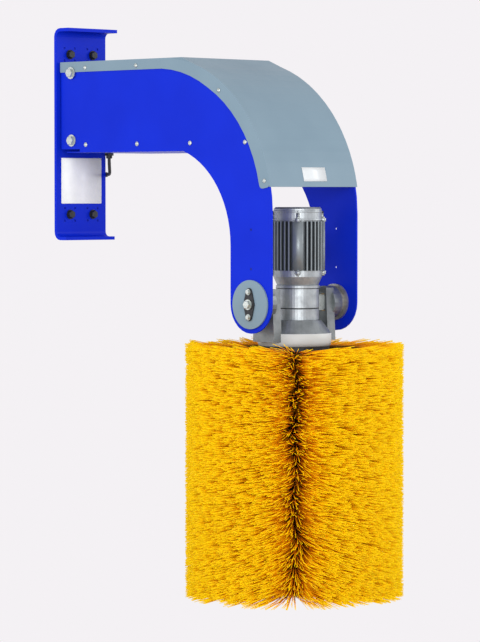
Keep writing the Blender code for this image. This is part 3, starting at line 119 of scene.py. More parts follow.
class Sock:
    """Shader socket on which Python's operators build Math nodes."""

    def __init__(self, graph: "Graph", socket: Any) -> None:
        """Keep the graph and the output socket."""
        self.graph = graph
        self.socket = socket

    def _math(self, operation: str, *values: Any, clamp: bool = False) -> "Sock":
        """Return the output of a Math node that works on the values."""
        settings = {"operation": operation, "use_clamp": clamp}
        return self.graph.node("ShaderNodeMath", settings, dict(enumerate(values)))

    def __add__(self, other: Any) -> "Sock":
        """Return the sum."""
        return self._math("ADD", self, other)

    def __sub__(self, other: Any) -> "Sock":
        """Return the difference."""
        return self._math("SUBTRACT", self, other)

    def __rsub__(self, other: Any) -> "Sock":
        """Return the other value less this one."""
        return self._math("SUBTRACT", other, self)

    def __mul__(self, other: Any) -> "Sock":
        """Return the product."""
        return self._math("MULTIPLY", self, other)

    def __truediv__(self, other: Any) -> "Sock":
        """Return the quotient."""
        return self._math("DIVIDE", self, other)

    def __pow__(self, exponent: float) -> "Sock":
        """Return the value to a constant power."""
        return self._math("POWER", self, exponent)

    __radd__ = __add__
    __rmul__ = __mul__

    def spread(self, low: float, high: float) -> "Sock":
        """Return 0 below low, 1 above high, and a straight rise between them."""
        rise = (self - low) / (high - low)
        return rise._math("ADD", rise, 0.0, clamp=True)


class Graph:
    """Node tree whose nodes all come from one method."""

    def __init__(self, tree: Any) -> None:
        """Keep the node tree."""
        self.tree = tree

    def node(self, kind: str, settings: Optional[dict[str, Any]] = None,
             inputs: Optional[dict[Any, Any]] = None, output: Any = 0) -> Sock:
        """Make a node and return one of its outputs.

        Args:
            kind: Blender's node type.
            settings: Properties of the node, set first.
            inputs: Values or Socks by the input's name or number.
            output: Name or number of the output.

        Returns:
            The output as a Sock.
        """
        made = self.tree.nodes.new(kind)
        for key, value in (settings or {}).items():
            setattr(made, key, value)
        for key, value in (inputs or {}).items():
            self.feed(made.inputs[key], value)
        return Sock(self, made.outputs[output])

    def feed(self, socket: Any, value: Any) -> None:
        """Link a Sock to an input, or set the input to a constant.

        Args:
            socket: The input.
            value: A Sock, a number, a vector or a colour of three parts.
        """
        if isinstance(value, Sock):
            self.tree.links.new(value.socket, socket)
        elif isinstance(value, tuple) and socket.type == "RGBA":
            socket.default_value = (*value, 1.0)
        else:
            socket.default_value = value

    def place(self) -> Sock:
        """Return the object coordinates in metres."""
        return self.node("ShaderNodeTexCoord", output="Object")

    def stretched(self, scale: Point) -> Sock:
        """Return the object coordinates multiplied along each axis."""
        return self.node("ShaderNodeMapping", {}, {"Vector": self.place(), "Scale": scale})

    def noise(self, scale: float, detail: float = 3.0, rough: float = 0.55,
              at: Optional[Sock] = None) -> Sock:
        """Return fractal noise from 0 to 1.

        Args:
            scale: Cells to the metre.
            detail: Number of finer layers.
            rough: Weight of the finer layers.
            at: Coordinates, or None for the object coordinates.

        Returns:
            The noise.
        """
        return self.node("ShaderNodeTexNoise", {}, {"Vector": at or self.place(), "Scale": scale,
                                                    "Detail": detail, "Roughness": rough})

    def cells(self, scale: float) -> Sock:
        """Return the distance to the nearest point of a Voronoi pattern."""
        return self.node("ShaderNodeTexVoronoi", {}, {"Vector": self.place(), "Scale": scale},
                         "Distance")

    def parts(self, vector: Sock) -> list[Sock]:
        """Return the first two parts of a vector."""
        return [self.node("ShaderNodeSeparateXYZ", {}, {0: vector}, part) for part in (0, 1)]

    def mix(self, share: Any, low: Any, high: Any) -> Sock:
        """Blend two colours by a share from 0 to 1."""
        return self.node("ShaderNodeMix", {"data_type": "RGBA"}, {0: share, 6: low, 7: high}, 2)


class Surface(Graph):
    """Node tree of one material, with a Principled shader at its end."""

    def __init__(self, name: str) -> None:
        """Make the material.

        Args:
            name: Material name.
        """
        self.material = bpy.data.materials.new(name)
        self.material.use_nodes = True
        super().__init__(self.material.node_tree)
        self.shader = self.tree.nodes["Principled BSDF"]

    def dress(self, inputs: dict[str, Any], height: Sock, depth: float, strength: float) -> Any:
        """Set the shader's inputs and its bump.

        Args:
            inputs: Values or Socks by the name of the shader's input.
            height: Bump height from 0 to 1.
            depth: Bump depth in metres.
            strength: Share of the bump that is used.

        Returns:
            The material.
        """
        for key, value in inputs.items():
            self.feed(self.shader.inputs[key], value)
        bump = self.node("ShaderNodeBump", {}, {"Strength": strength, "Distance": depth,
                                                "Height": height})
        self.feed(self.shader.inputs["Normal"], bump)
        return self.material


@dataclass(frozen=True)
class PowderCoat:
    """Powder coat: slow colour drift, faint dust and orange peel.

    Attributes:
        name: Material name.
        base, shade: Main colour, and the colour of the darker drift.
        rough: Mean roughness.
        shine: Specular level, where 0.5 is plain plastic.
        dust: Colour of the dust.
        drift_scale, dust_scale, smear_scale, peel_scale: Cells to the metre of each pattern.
        drift_edges, dust_edges: Noise values between which the drift and the dust come up.
        drift_share, dust_share: Most that the drift and the dust cover.
        smear_range: Full range of the roughness.
        peel_depth, peel_strength: Depth of the orange peel, and the share of it that is used.
    """

    name: str
    base: Colour
    shade: Colour
    rough: float
    shine: float
    dust: Colour = (0.60, 0.62, 0.62)
    drift_scale: float = 7.0
    drift_edges: Pair = (0.35, 0.75)
    drift_share: float = 0.55
    dust_scale: float = 420.0
    dust_edges: Pair = (0.68, 0.80)
    dust_share: float = 0.03
    smear_scale: float = 22.0
    smear_range: float = 0.14
    peel_scale: float = 620.0
    peel_depth: float = 0.00012
    peel_strength: float = 0.35

    def make(self) -> Any:
        """Make the material.

        Returns:
            The material.
        """
        surface = Surface(self.name)
        drift = surface.noise(self.drift_scale, detail=2.0).spread(*self.drift_edges)
        dusty = surface.noise(self.dust_scale, detail=2.0).spread(*self.dust_edges)
        smear = surface.noise(self.smear_scale, detail=4.0) * self.smear_range
        clean = surface.mix(drift * self.drift_share, self.base, self.shade)
        colour = surface.mix(dusty * self.dust_share, clean, self.dust)
        return surface.dress({"Base Color": colour,
                              "Roughness": smear + (self.rough - self.smear_range / 2),
                              "Specular IOR Level": self.shine},
                             surface.noise(self.peel_scale, detail=1.0), self.peel_depth,
                             self.peel_strength)


@dataclass(frozen=True)
class SandCast:
    """Sand-cast aluminium: grain, pores and faint stains.

    Attributes:
        name: Material name.
        light, dark: Colours of clean and of stained metal.
        pore: Colour of the pores.
        metallic: Metallic value.
        stain_scale, grain_scale, pore_scale: Cells to the metre of each pattern.
        stain_edges, pore_edges: Pattern values between which stains and pores come up.
        pore_share: Most that a pore darkens.
        rough, rough_range: Least roughness, and what the grain and the stains can each add.
        grain_share: Share of the bump that is grain. The rest is pores.
        depth, strength: Depth of the bump, and the share of it that is used.
    """

    name: str
    light: Colour
    dark: Colour
    pore: Colour = (0.16, 0.165, 0.17)
    metallic: float = 0.72
    stain_scale: float = 34.0
    stain_edges: Pair = (0.38, 0.72)
    grain_scale: float = 950.0
    pore_scale: float = 520.0
    pore_edges: Pair = (0.10, 0.22)
    pore_share: float = 0.25
    rough: float = 0.26
    rough_range: float = 0.16
    grain_share: float = 0.6
    depth: float = 0.00020
    strength: float = 0.5

    def make(self) -> Any:
        """Make the material.

        Returns:
            The material.
        """
        surface = Surface(self.name)
        stain = surface.noise(self.stain_scale, detail=5.0, rough=0.62)
        grain = surface.noise(self.grain_scale, detail=3.0, rough=0.7)
        pores = surface.cells(self.pore_scale).spread(*self.pore_edges)
        colour = surface.mix(stain.spread(*self.stain_edges), self.light, self.dark)
        return surface.dress(
            {"Base Color": surface.mix((1.0 - pores) * self.pore_share, colour, self.pore),
             "Metallic": self.metallic,
             "Roughness": (grain + stain) * self.rough_range + self.rough},
            grain * self.grain_share + pores * (1.0 - self.grain_share), self.depth,
            self.strength)


@dataclass(frozen=True)
class FinnedCasting:
    """Grey-coated casting: painted shade between its fins, painted highlight on their outer edges.

    The share of the edge colour rises with the distance from the motor's axis, which is the
    square root of x squared plus y squared.

    Attributes:
        name: Material name.
        axis: Point on the motor's axis, in object coordinates.
        between, edge: Painted shade between the fins, and painted highlight on their outer edges.
        stained: Colour of the stains.
        root_radius, edge_radius: Distances from the axis where the share is 0 and 1.
        metallic: Metallic value.
        stain_scale, grain_scale: Cells to the metre of each pattern.
        stain_edges, stain_share: Noise values between which stains come up, and their most.
        rough, rough_range: Least roughness, and what the grain and the stains can each add.
        depth, strength: Depth of the bump, and the share of it that is used.
    """

    name: str
    axis: Vector
    between: Colour
    edge: Colour
    stained: Colour = (0.100, 0.115, 0.125)
    root_radius: float = 0.0570
    edge_radius: float = 0.0616
    metallic: float = 0.50
    stain_scale: float = 34.0
    stain_edges: Pair = (0.40, 0.75)
    stain_share: float = 0.35
    grain_scale: float = 950.0
    rough: float = 0.24
    rough_range: float = 0.16
    depth: float = 0.00020
    strength: float = 0.5

    def make(self) -> Any:
        """Make the material.

        Returns:
            The material.
        """
        surface = Surface(self.name)
        across, along = surface.parts(surface.place())
        x, y = across - self.axis.x, along - self.axis.y
        # Painted shade at the fins' roots, rising to a painted highlight on their outer edges
        outer = ((x * x + y * y) ** 0.5).spread(self.root_radius, self.edge_radius)
        stain = surface.noise(self.stain_scale, detail=5.0, rough=0.62)
        grain = surface.noise(self.grain_scale, detail=3.0, rough=0.7)
        colour = surface.mix(stain.spread(*self.stain_edges) * self.stain_share,
                             surface.mix(outer, self.between, self.edge), self.stained)
        return surface.dress({"Base Color": colour, "Metallic": self.metallic,
                              "Roughness": (grain + stain) * self.rough_range + self.rough},
                             grain, self.depth, self.strength)


@dataclass(frozen=True)
class Plated:
    """Plated or machined metal: fine turning marks and slight tarnish.

    Attributes:
        name: Material name.
        light, dark: Colours of clean and of tarnished metal.
        metallic: Metallic value.
        rough: Mean roughness.
        tarnish_scale, tarnish_edges: Cells to the metre, and noise values where tarnish comes up.
        mark_scale: Turning marks to the metre along each axis.
        mark_range: Full range of the roughness.
        depth, strength: Depth of the marks, and the share of it that is used.
    """

    name: str
    light: Colour
    dark: Colour
    metallic: float
    rough: float
    tarnish_scale: float = 160.0
    tarnish_edges: Pair = (0.40, 0.75)
    mark_scale: Point = (300.0, 300.0, 2600.0)
    mark_range: float = 0.16
    depth: float = 0.00006
    strength: float = 0.4

    def make(self) -> Any:
        """Make the material.

        Returns:
            The material.
        """
        surface = Surface(self.name)
        tarnish = surface.noise(self.tarnish_scale, detail=4.0).spread(*self.tarnish_edges)
        marks = surface.noise(1.0, detail=2.0, rough=0.6,
                              at=surface.stretched(self.mark_scale))
        return surface.dress(
            {"Base Color": surface.mix(tarnish, self.light, self.dark),
             "Metallic": self.metallic,
             "Roughness": marks * self.mark_range + (self.rough - self.mark_range / 2)},
            marks, self.depth, self.strength)


@dataclass(frozen=True)
class MouldedRubber:
    """Moulded black rubber with a dusty bloom.

    Attributes:
        name: Material name.
        base, bloom: Colours of the rubber and of the bloom.
        bloom_scale, grain_scale: Cells to the metre of each pattern.
        bloom_edges, bloom_share: Noise values between which the bloom comes up, and its most.
        rough, rough_range: Least roughness, and what the bloom can add.
        depth, strength: Depth of the grain, and the share of it that is used.
    """

    name: str
    base: Colour = (0.010, 0.010, 0.011)
    bloom: Colour = (0.045, 0.045, 0.046)
    bloom_scale: float = 90.0
    bloom_edges: Pair = (0.45, 0.85)
    bloom_share: float = 0.5
    rough: float = 0.45
    rough_range: float = 0.2
    grain_scale: float = 1400.0
    depth: float = 0.00008
    strength: float = 0.4

    def make(self) -> Any:
        """Make the material.

        Returns:
            The material.
        """
        surface = Surface(self.name)
        dusty = surface.noise(self.bloom_scale, detail=4.0).spread(*self.bloom_edges)
        colour = surface.mix(dusty * self.bloom_share, self.base, self.bloom)
        return surface.dress({"Base Color": colour,
                              "Roughness": dusty * self.rough_range + self.rough},
                             surface.noise(self.grain_scale, detail=2.0), self.depth, self.strength)


@dataclass(frozen=True)
class FilamentPlastic:
    """Yellow bristle plastic with painted shade: near black in the core, orange in the depth.

    The first UV value is the share of the way out and the second one a random number, so no two
    neighbours have quite the same colour.

    Attributes:
        name: Material name.
        core, deep, middle, tip: Colours from the core outward; all but the tip's are painted shade.
        deep_edges, middle_edges, tip_edges: Shares of the way out between which each one of the
            last three comes up.
        tint, tint_share: Colour of the more orange filaments, and its most.
        bleached, bleached_share: Colour of the palest tips, and its most.
        bleached_edges, bleached_chance: Shares of the way out, and random numbers, between which
            it comes up.
        rough, rough_range: Least roughness, and what the random number can add.
        shine: Specular level, where 0.5 is plain plastic.
        grain_scale: Cells to the metre of the grain.
        depth, strength: Depth of the grain, and the share of it that is used.
    """

    name: str
    core: Colour = (0.030, 0.012, 0.004)
    deep: Colour = (0.80, 0.270, 0.001)
    middle: Colour = (0.96, 0.44, 0.001)
    tip: Colour = (1.0, 0.700, 0.001)
    deep_edges: Pair = (0.24, 0.50)
    middle_edges: Pair = (0.48, 0.76)
    tip_edges: Pair = (0.70, 0.98)
    tint: Colour = (0.97, 0.370, 0.001)
    tint_share: float = 0.22
    bleached: Colour = (1.0, 0.740, 0.030)
    bleached_share: float = 0.5
    bleached_edges: Pair = (0.70, 1.0)
    bleached_chance: Pair = (0.86, 1.0)
    rough: float = 0.50
    rough_range: float = 0.18
    shine: float = 0.08
    grain_scale: float = 900.0
    depth: float = 0.00010
    strength: float = 0.3

    def make(self) -> Any:
        """Make the material.

        Returns:
            The material.
        """
        surface = Surface(self.name)
        out, chance = surface.parts(surface.node("ShaderNodeUVMap", {"uv_map": "UVMap"}))
        # Painted shade: near black at the core, through orange, to the yellow tip
        inner = surface.mix(out.spread(*self.deep_edges), self.core, self.deep)
        outer = surface.mix(out.spread(*self.middle_edges), inner, self.middle)
        end = surface.mix(out.spread(*self.tip_edges), outer, self.tip)
        tinted = surface.mix(chance * self.tint_share, end, self.tint)
        faded = chance.spread(*self.bleached_chance) * out.spread(*self.bleached_edges)
        return surface.dress(
            {"Base Color": surface.mix(faded * self.bleached_share, tinted, self.bleached),
             "Roughness": chance * self.rough_range + self.rough,
             "Specular IOR Level": self.shine},
            surface.noise(self.grain_scale, detail=2.0, rough=0.5), self.depth, self.strength)


@dataclass(frozen=True)
class LabelFilm:
    """Blank label film: faint mottling and slightly soiled.

    Attributes:
        name: Material name.
        base, soil: Colours of clean and of soiled film.
        mottle_scale, grain_scale: Cells to the metre of each pattern.
        mottle_edges, mottle_share: Noise values between which soil comes up, and its most.
        rough, rough_range: Least roughness, and what the soil can add.
        depth, strength: Depth of the grain, and the share of it that is used.
    """

    name: str
    base: Colour
    soil: Colour = (0.62, 0.64, 0.64)
    mottle_scale: float = 60.0
    mottle_edges: Pair = (0.40, 0.80)
    mottle_share: float = 0.30
    rough: float = 0.34
    rough_range: float = 0.12
    grain_scale: float = 240.0
    depth: float = 0.00006
    strength: float = 0.3

    def make(self) -> Any:
        """Make the material.

        Returns:
            The material.
        """
        surface = Surface(self.name)
        mottle = surface.noise(self.mottle_scale, detail=4.0).spread(*self.mottle_edges)
        colour = surface.mix(mottle * self.mottle_share, self.base, self.soil)
        return surface.dress({"Base Color": colour,
                              "Roughness": mottle * self.rough_range + self.rough},
                             surface.noise(self.grain_scale, detail=2.0), self.depth, self.strength)


class Finishes:
    """All materials of the part.

    The finned motor housing is coated in a darker grey than the bare castings round it, with
    painted shade between its fins and painted highlight on their edges. The cradle's casting is
    darker as painted shade, and the pivot bearings are paler than the other dark steel.
    """

    def __init__(self) -> None:
        """Make the material of each slot, of the special nodes and of the small extras."""
        self.by_slot = {
            Slot.BLUE: PowderCoat("paint_blue", (0.003, 0.022, 0.540), (0.002, 0.016, 0.440),
                                  rough=0.36, shine=0.06).make(),
            Slot.GREY: PowderCoat("paint_grey", (0.188, 0.272, 0.330), (0.150, 0.226, 0.282),
                                  rough=0.42, shine=0.16).make(),
            Slot.CAST: SandCast("metal_cast", (0.420, 0.455, 0.470), (0.265, 0.290, 0.305)).make(),
            Slot.DARK: Plated("steel_dark", (0.030, 0.032, 0.036), (0.012, 0.013, 0.015),
                              metallic=0.5, rough=0.45).make(),
            Slot.ZINC: Plated("steel_zinc", (0.60, 0.65, 0.62), (0.40, 0.44, 0.42),
                              metallic=0.85, rough=0.33).make(),
            Slot.RUBBER: MouldedRubber("rubber_black").make(),
            Slot.BRONZE: Plated("bronze_bush", (0.52, 0.35, 0.15), (0.34, 0.22, 0.09),
                                metallic=0.9, rough=0.38).make(),
            Slot.LAMINATION: Plated("steel_core", (0.26, 0.26, 0.27), (0.16, 0.16, 0.17),
                                    metallic=0.8, rough=0.5).make(),
            Slot.BRISTLE: FilamentPlastic("plastic_bristle").make(),
        }
        axis = frame["nodes"]["motor_housing"].matrix_world.inverted() @ MOTOR_AXIS
        # Motor finish with painted shade between the fins and a painted highlight on their edges
        self.housing = FinnedCasting("metal_motor", axis, (0.026, 0.032, 0.038),
                                     (0.270, 0.308, 0.325)).make()
        bearing = Plated("steel_bearing", (0.36, 0.36, 0.35), (0.20, 0.20, 0.20),
                         metallic=0.6, rough=0.40).make()
        self.by_node = {
            "motor_housing": self.housing,
            # Darker copy of the cast finish: painted shade on the cradle
            "swing_yoke": SandCast("metal_yoke", (0.250, 0.275, 0.280),
                                   (0.150, 0.168, 0.172)).make(),
            "pivot_bearing_left": bearing,
            "pivot_bearing_right": bearing,
        }
        self.pale = PowderCoat("paint_pale", (0.60, 0.62, 0.60), (0.46, 0.475, 0.455),
                               rough=0.40, shine=0.30).make()
        # Dark blue painted shade that fills the left plate's sight holes
        self.hole_shade = PowderCoat("paint_hole_shade", (0.004, 0.012, 0.20), (0.004, 0.010, 0.15),
                               rough=0.50, shine=0.20).make()
        self.paper = LabelFilm("film_white", (0.80, 0.82, 0.82)).make()
        self.foil = LabelFilm("film_silver", (0.66, 0.70, 0.71)).make()

    def paint_frame(self) -> None:
        """Give every CAD node its own special material or that of its record slot."""
        for entry in frame["record"]["subparts"]:
            node = frame["nodes"][entry["node"]]
            material = self.by_node.get(entry["node"], self.by_slot[Slot(entry["material_slot"])])
            node.data.materials.clear()
            node.data.materials.append(material)
            LOG.info("node %s in %s", entry["node"], material.name)


@dataclass(frozen=True)
class Shape:
    """Points with their quads and triangles, as whole arrays.

    Attributes:
        points: Corner positions, shape (n, 3).
        quads: Four corner numbers of each quad, shape (q, 4).
        triangles: Three corner numbers of each triangle, shape (t, 3).
        uv: Two values for each point, or None.
    """

    points: Array
    quads: Array
    triangles: Array
    uv: Optional[Array] = None

    def repeated(self, places: Iterable[Matrix]) -> "Shape":
        """Return one shape with a copy at each place.

        Args:
            places: Matrix of each copy.

        Returns:
            The joined shape, whose points are each matrix times each point.
        """
        turns = np.array([np.array(place) for place in places])
        moved = np.einsum("kij,nj->kni", turns[:, :3, :3], self.points) + turns[:, None, :3, 3]
        shift = (np.arange(len(turns)) * len(self.points))[:, None, None]
        return Shape(moved.reshape(-1, 3), (self.quads[None] + shift).reshape(-1, 4),
                     (self.triangles[None] + shift).reshape(-1, 3))

    def mesh(self, name: str, smooth: bool = True) -> Any:
        """Make a Blender mesh of the shape.

        Args:
            name: Mesh name.
            smooth: Whether all faces are shaded smooth.

        Returns:
            The mesh.
        """
        corners = np.concatenate([self.quads.ravel(), self.triangles.ravel()]).astype(np.int32)
        totals = np.repeat([4, 3], [len(self.quads), len(self.triangles)])
        starts = np.concatenate([[0], np.cumsum(totals)[:-1]]).astype(np.int32)
        mesh = bpy.data.meshes.new(name)
        mesh.vertices.add(len(self.points))
        mesh.vertices.foreach_set("co", self.points.astype(np.float32).ravel())
        mesh.loops.add(len(corners))
        mesh.loops.foreach_set("vertex_index", corners)
        mesh.polygons.add(len(totals))
        mesh.polygons.foreach_set("loop_start", starts)
        mesh.update(calc_edges=True)
        if self.uv is not None:
            layer = mesh.uv_layers.new(name="UVMap")
            layer.data.foreach_set("uv", self.uv[corners].astype(np.float32).ravel())
        mesh.validate()
        if smooth:
            mesh.shade_smooth()
        return mesh


def add_piece(data: Any, material: Any, body: Body) -> Any:
    """Link a mesh or a curve as a piece of the same name.

    Args:
        data: The mesh or the curve.
        material: Its material.
        body: Rigid body that it rides on.

    Returns:
        The piece's object.
    """
    piece = bpy.data.objects.new(data.name, data)
    bpy.context.scene.collection.objects.link(piece)
    data.materials.append(material)
    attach(piece, body.value)
    return piece


def lathe(profile: Sequence[Pair], segments: int, ring: bool = False) -> Shape:
    """Turn a profile about Z: x is r times cos a, y is r times sin a, and z is h.

    Args:
        profile: Points (r, h), going up on the outside. A first or last radius of 0 makes a pole.
        segments: Number of steps of a round the axis.
        ring: Whether the last point joins the first one, as in a ring.

    Returns:
        The closed shape.
    """
    low_pole, high_pole = profile[0][0] == 0, profile[-1][0] == 0
    radius, height = np.array(profile[int(low_pole):len(profile) - int(high_pole)]).T
    rows = len(radius)
    angle = np.arange(segments) * 2 * math.pi / segments
    points = np.stack([np.outer(radius, np.cos(angle)), np.outer(radius, np.sin(angle)),
                       np.repeat(height[:, None], segments, axis=1)], axis=2).reshape(-1, 3)
    step = np.arange(segments)
    nxt = (step + 1) % segments
    row = np.arange(rows if ring else rows - 1)[:, None] * segments
    above = (row + segments) % (rows * segments)
    quads = np.stack([row + step, row + nxt, above + nxt, above + step], axis=2).reshape(-1, 4)
    triangles = [NO_FACES]
    if low_pole:
        triangles.append(np.stack([nxt, step, np.full(segments, len(points))], axis=1))
        points = np.concatenate([points, [[0, 0, profile[0][1]]]])
    if high_pole:
        last = (rows - 1) * segments
        triangles.append(np.stack([last + step, last + nxt, np.full(segments, len(points))],
                                  axis=1))
        points = np.concatenate([points, [[0, 0, profile[-1][1]]]])
    return Shape(points, quads, np.concatenate(triangles))


def block(low: Point, high: Point) -> Shape:
    """Return the box between two opposite corners.

    Args:
        low, high: The corners.

    Returns:
        The box.
    """
    points = np.array([[x, y, z] for x in (low[0], high[0]) for y in (low[1], high[1])
                       for z in (low[2], high[2])])
    quads = np.array([[0, 1, 3, 2], [4, 6, 7, 5], [0, 4, 5, 1], [2, 3, 7, 6], [0, 2, 6, 4],
                      [1, 5, 7, 3]])
    return Shape(points, quads, NO_FACES)


def slab(grid: Array, depth: Point) -> Shape:
    """Thicken a grid of points into a closed plate.

    The back is the front moved by the depth, and a wall of quads runs round the edge.

    Args:
        grid: Front points over two parameters, shape (u, v, 3).
        depth: Vector from the front to the back.

    Returns:
        The plate, with its faces pointing out.
    """
    count = grid.shape[0] * grid.shape[1]
    number = np.arange(count).reshape(grid.shape[:2])
    front = np.stack([number[:-1, :-1], number[1:, :-1], number[1:, 1:], number[:-1, 1:]],
                     axis=2).reshape(-1, 4)
    loop = np.concatenate([number[:, 0], number[-1, 1:], number[-2::-1, -1], number[0, -2:0:-1]])
    nxt = np.roll(loop, -1)
    walls = np.stack([loop, loop + count, nxt + count, nxt], axis=1)
    quads = np.concatenate([front, front[:, ::-1] + count, walls])
    normal = np.cross(grid[1, 0] - grid[0, 0], grid[0, 1] - grid[0, 0])
    if np.dot(normal, depth) > 0:
        quads = quads[:, ::-1]
    flat = grid.reshape(-1, 3)
    return Shape(np.concatenate([flat, flat + np.array(depth)]), quads, NO_FACES)


def facing(position: Sequence[float], direction: Sequence[float]) -> Matrix:
    """Return the matrix that lays a shape's +Z along a direction at a position."""
    turn = Vector(direction).normalized().to_track_quat("Z", "Y").to_matrix().to_4x4()
    return Matrix.Translation(position) @ turn


def on_bend(radius: float, angle: Array, y: Any) -> Array:
    """Return points at a radius and angles about the arm's bend, at a place y across it."""
    return np.stack(np.broadcast_arrays(BEND_CENTRE[0] + radius * np.cos(angle), y,
                                        BEND_CENTRE[1] + radius * np.sin(angle)), axis=-1)


@dataclass(frozen=True)
class ScrewHead:
    """Domed screw head with a round socket, with its underside at height 0.

    Attributes:
        radius, height: Size of the head.
        socket, depth: Radius and depth of the socket.
        segments: Facets round the head.
        dome_foot: Share of the height at which the dome starts.
        dome_angle, dome_points: How far the dome goes up its quarter circle, and its points.
        floor_share: Radius of the socket's floor as a share of the socket's.
    """

    radius: float
    height: float
    socket: float
    depth: float
    segments: int = 14
    dome_foot: float = 0.25
    dome_angle: float = math.radians(62.0)
    dome_points: int = 4
    floor_share: float = 0.9

    def shape(self) -> Shape:
        """Turn the head, whose dome goes up by sines and in by cosines.

        Returns:
            The head.
        """
        dome = [(self.radius * math.cos(a),
                 self.height * (self.dome_foot + (1.0 - self.dome_foot) * math.sin(a)))
                for a in np.linspace(0.0, self.dome_angle, self.dome_points)]
        floor = self.height - self.depth
        return lathe([(0, 0.0), (self.radius, 0.0), *dome, (self.socket, self.height),
                      (self.socket * self.floor_share, floor), (0, floor)], self.segments)


@dataclass(frozen=True)
class BracketDress:
    """Blank label below the arm on the wall bracket.

    Attributes:
        finishes: All materials.
        low, high: Y and Z of two opposite corners.
        corner, corner_points: Radius of the corners and points on each of them.
        thickness, stand_off: Thickness of the film and its gap to the bracket.
    """

    finishes: Finishes
    low: Pair = (-0.064, -0.166)
    high: Pair = (0.065, -0.056)
    corner: float = 0.002
    corner_points: int = 4
    thickness: float = 0.00035
    stand_off: float = 0.00005

    def build(self) -> list[Any]:
        """Cut the label, whose width shrinks along a quarter circle at each corner.

        Returns:
            The label.
        """
        (y_low, z_low), (y_high, z_high) = self.low, self.high
        turn = np.linspace(0, math.pi / 2, self.corner_points)
        rise = self.corner * (1 - np.cos(turn))
        inset = self.corner * (1 - np.sin(turn))
        z = np.concatenate([z_low + rise, (z_high - rise)[::-1]])
        pulled = np.concatenate([inset, inset[::-1]])
        y = np.stack([y_low + pulled, y_high - pulled])
        front = np.full(y.shape, BRACKET_FACE_X + self.stand_off + self.thickness)
        sheet = slab(np.stack([front, y, np.broadcast_to(z, y.shape)], axis=2),
                     (-self.thickness, 0, 0))
        return [add_piece(sheet.mesh("bracket_label", smooth=False), self.finishes.paper, Body.ARM)]


@dataclass(frozen=True)
class HoodDress:
    """Screws of the hood and the pan, gussets at the hood's crease, and the hood's blank plate.

    Attributes:
        finishes: All materials.
        lip_screw, row_screw: Heads on the hood's lips and along the side plates' foot.
        lip_places, row_places: X and Z of the heads.
        gusset_start, gusset_end: Angles on the bend between which a gusset stands.
        gusset_outside, gusset_thickness: Distance of its face from the side plate, and thickness.
        gusset_inset, sheet_inset: Depths of its two edges under the hood's outside.
        gusset_points: Points along the gusset's arc.
        crease_reach: Distance from the start of the bend to the hood's crease.
        plate_angles, plate_edges: Angles on the bend and Y that bound the blank plate.
        plate_points: Points along the plate's bend.
        plate_thickness, plate_stand_off: Thickness of the plate and its gap to the hood.
    """

    finishes: Finishes
    lip_screw: ScrewHead = ScrewHead(radius=0.0052, height=0.0032, socket=0.0024, depth=0.0016)
    row_screw: ScrewHead = ScrewHead(radius=0.0056, height=0.0036, socket=0.0026, depth=0.0018)
    lip_places: tuple[Pair, ...] = ((0.102, 0.157), (0.280, 0.157), (0.558, 0.093), (0.705, -0.113))
    row_places: tuple[Pair, ...] = ((0.102, -0.0256), (0.2817, -0.0256), (0.4614, -0.0256),
                                    (0.6411, -0.0256))
    gusset_start: float = math.radians(73.0)
    gusset_end: float = math.radians(89.3)
    gusset_outside: float = 0.0021
    gusset_thickness: float = 0.0016
    gusset_inset: float = 0.0016
    sheet_inset: float = 0.0009
    gusset_points: int = 12
    crease_reach: float = 0.0666
    plate_angles: Pair = (math.radians(12.0), math.radians(17.2))
    plate_edges: Pair = (0.0405, 0.1155)
    plate_points: int = 5
    plate_thickness: float = 0.0004
    plate_stand_off: float = 0.0001

    def screws(self, side: Side) -> list[Any]:
        """Make one side's screws.

        Args:
            side: Side of the arm.

        Returns:
            The screws of the lip and those of the row, as one piece each.
        """
        pieces = []
        for kind, head, places, lift in (("lip", self.lip_screw, self.lip_places, LIP_STAND_OFF),
                                         ("row", self.row_screw, self.row_places, 0.0)):
            spots = [facing((x, side.outside(lift), z), (0, side.sign, 0)) for x, z in places]
            mesh = head.shape().repeated(spots).mesh(f"{kind}_screws_{side.label}")
            pieces.append(add_piece(mesh, self.finishes.by_slot[Slot.ZINC], Body.ARM))
        return pieces

    def gusset(self, side: Side) -> Any:
        """Close the sliver between a lip's arc and the sheet above it.

        One edge of the plate follows the arc. The other one runs flat to the crease and from
        there straight down to the arc.

        Args:
            side: Side of the arm.

        Returns:
            The gusset.
        """
        y = side.outside(self.gusset_outside)
        lower = on_bend(HOOD_RADIUS - self.gusset_inset,
                        np.linspace(self.gusset_end, self.gusset_start, self.gusset_points), y)
        landing = on_bend(HOOD_RADIUS - self.sheet_inset, np.array(self.gusset_start), y)
        top = BEND_CENTRE[1] + HOOD_RADIUS - self.sheet_inset
        crease = BEND_CENTRE[0] + self.crease_reach
        fall = np.clip((lower[:, 0] - crease) / (landing[0] - crease), 0, 1)
        upper = np.stack([lower[:, 0], lower[:, 1], top + (landing[2] - top) * fall], axis=1)
        sheet = slab(np.stack([lower, upper], axis=1),
                     (0, -side.sign * self.gusset_thickness, 0))
        return add_piece(sheet.mesh(f"hood_gusset_{side.label}", smooth=False),
                         self.finishes.by_slot[Slot.GREY], Body.ARM)

    def plate(self) -> Any:
        """Lay the blank plate on the bend, whose radius it follows.

        Returns:
            The plate.
        """
        angle = np.linspace(*self.plate_angles, self.plate_points)[:, None]
        grid = on_bend(HOOD_RADIUS + self.plate_stand_off + self.plate_thickness, angle,
                       np.array(self.plate_edges)[None, :])
        middle = float(angle.mean())
        depth = (-self.plate_thickness * math.cos(middle), 0,
                 -self.plate_thickness * math.sin(middle))
        return add_piece(slab(grid, depth).mesh("hood_label", smooth=False),
                         self.finishes.foil, Body.ARM)

    def build(self) -> list[Any]:
        """Return all pieces."""
        pieces = [piece for side in Side for piece in (*self.screws(side), self.gusset(side))]
        return [*pieces, self.plate()]


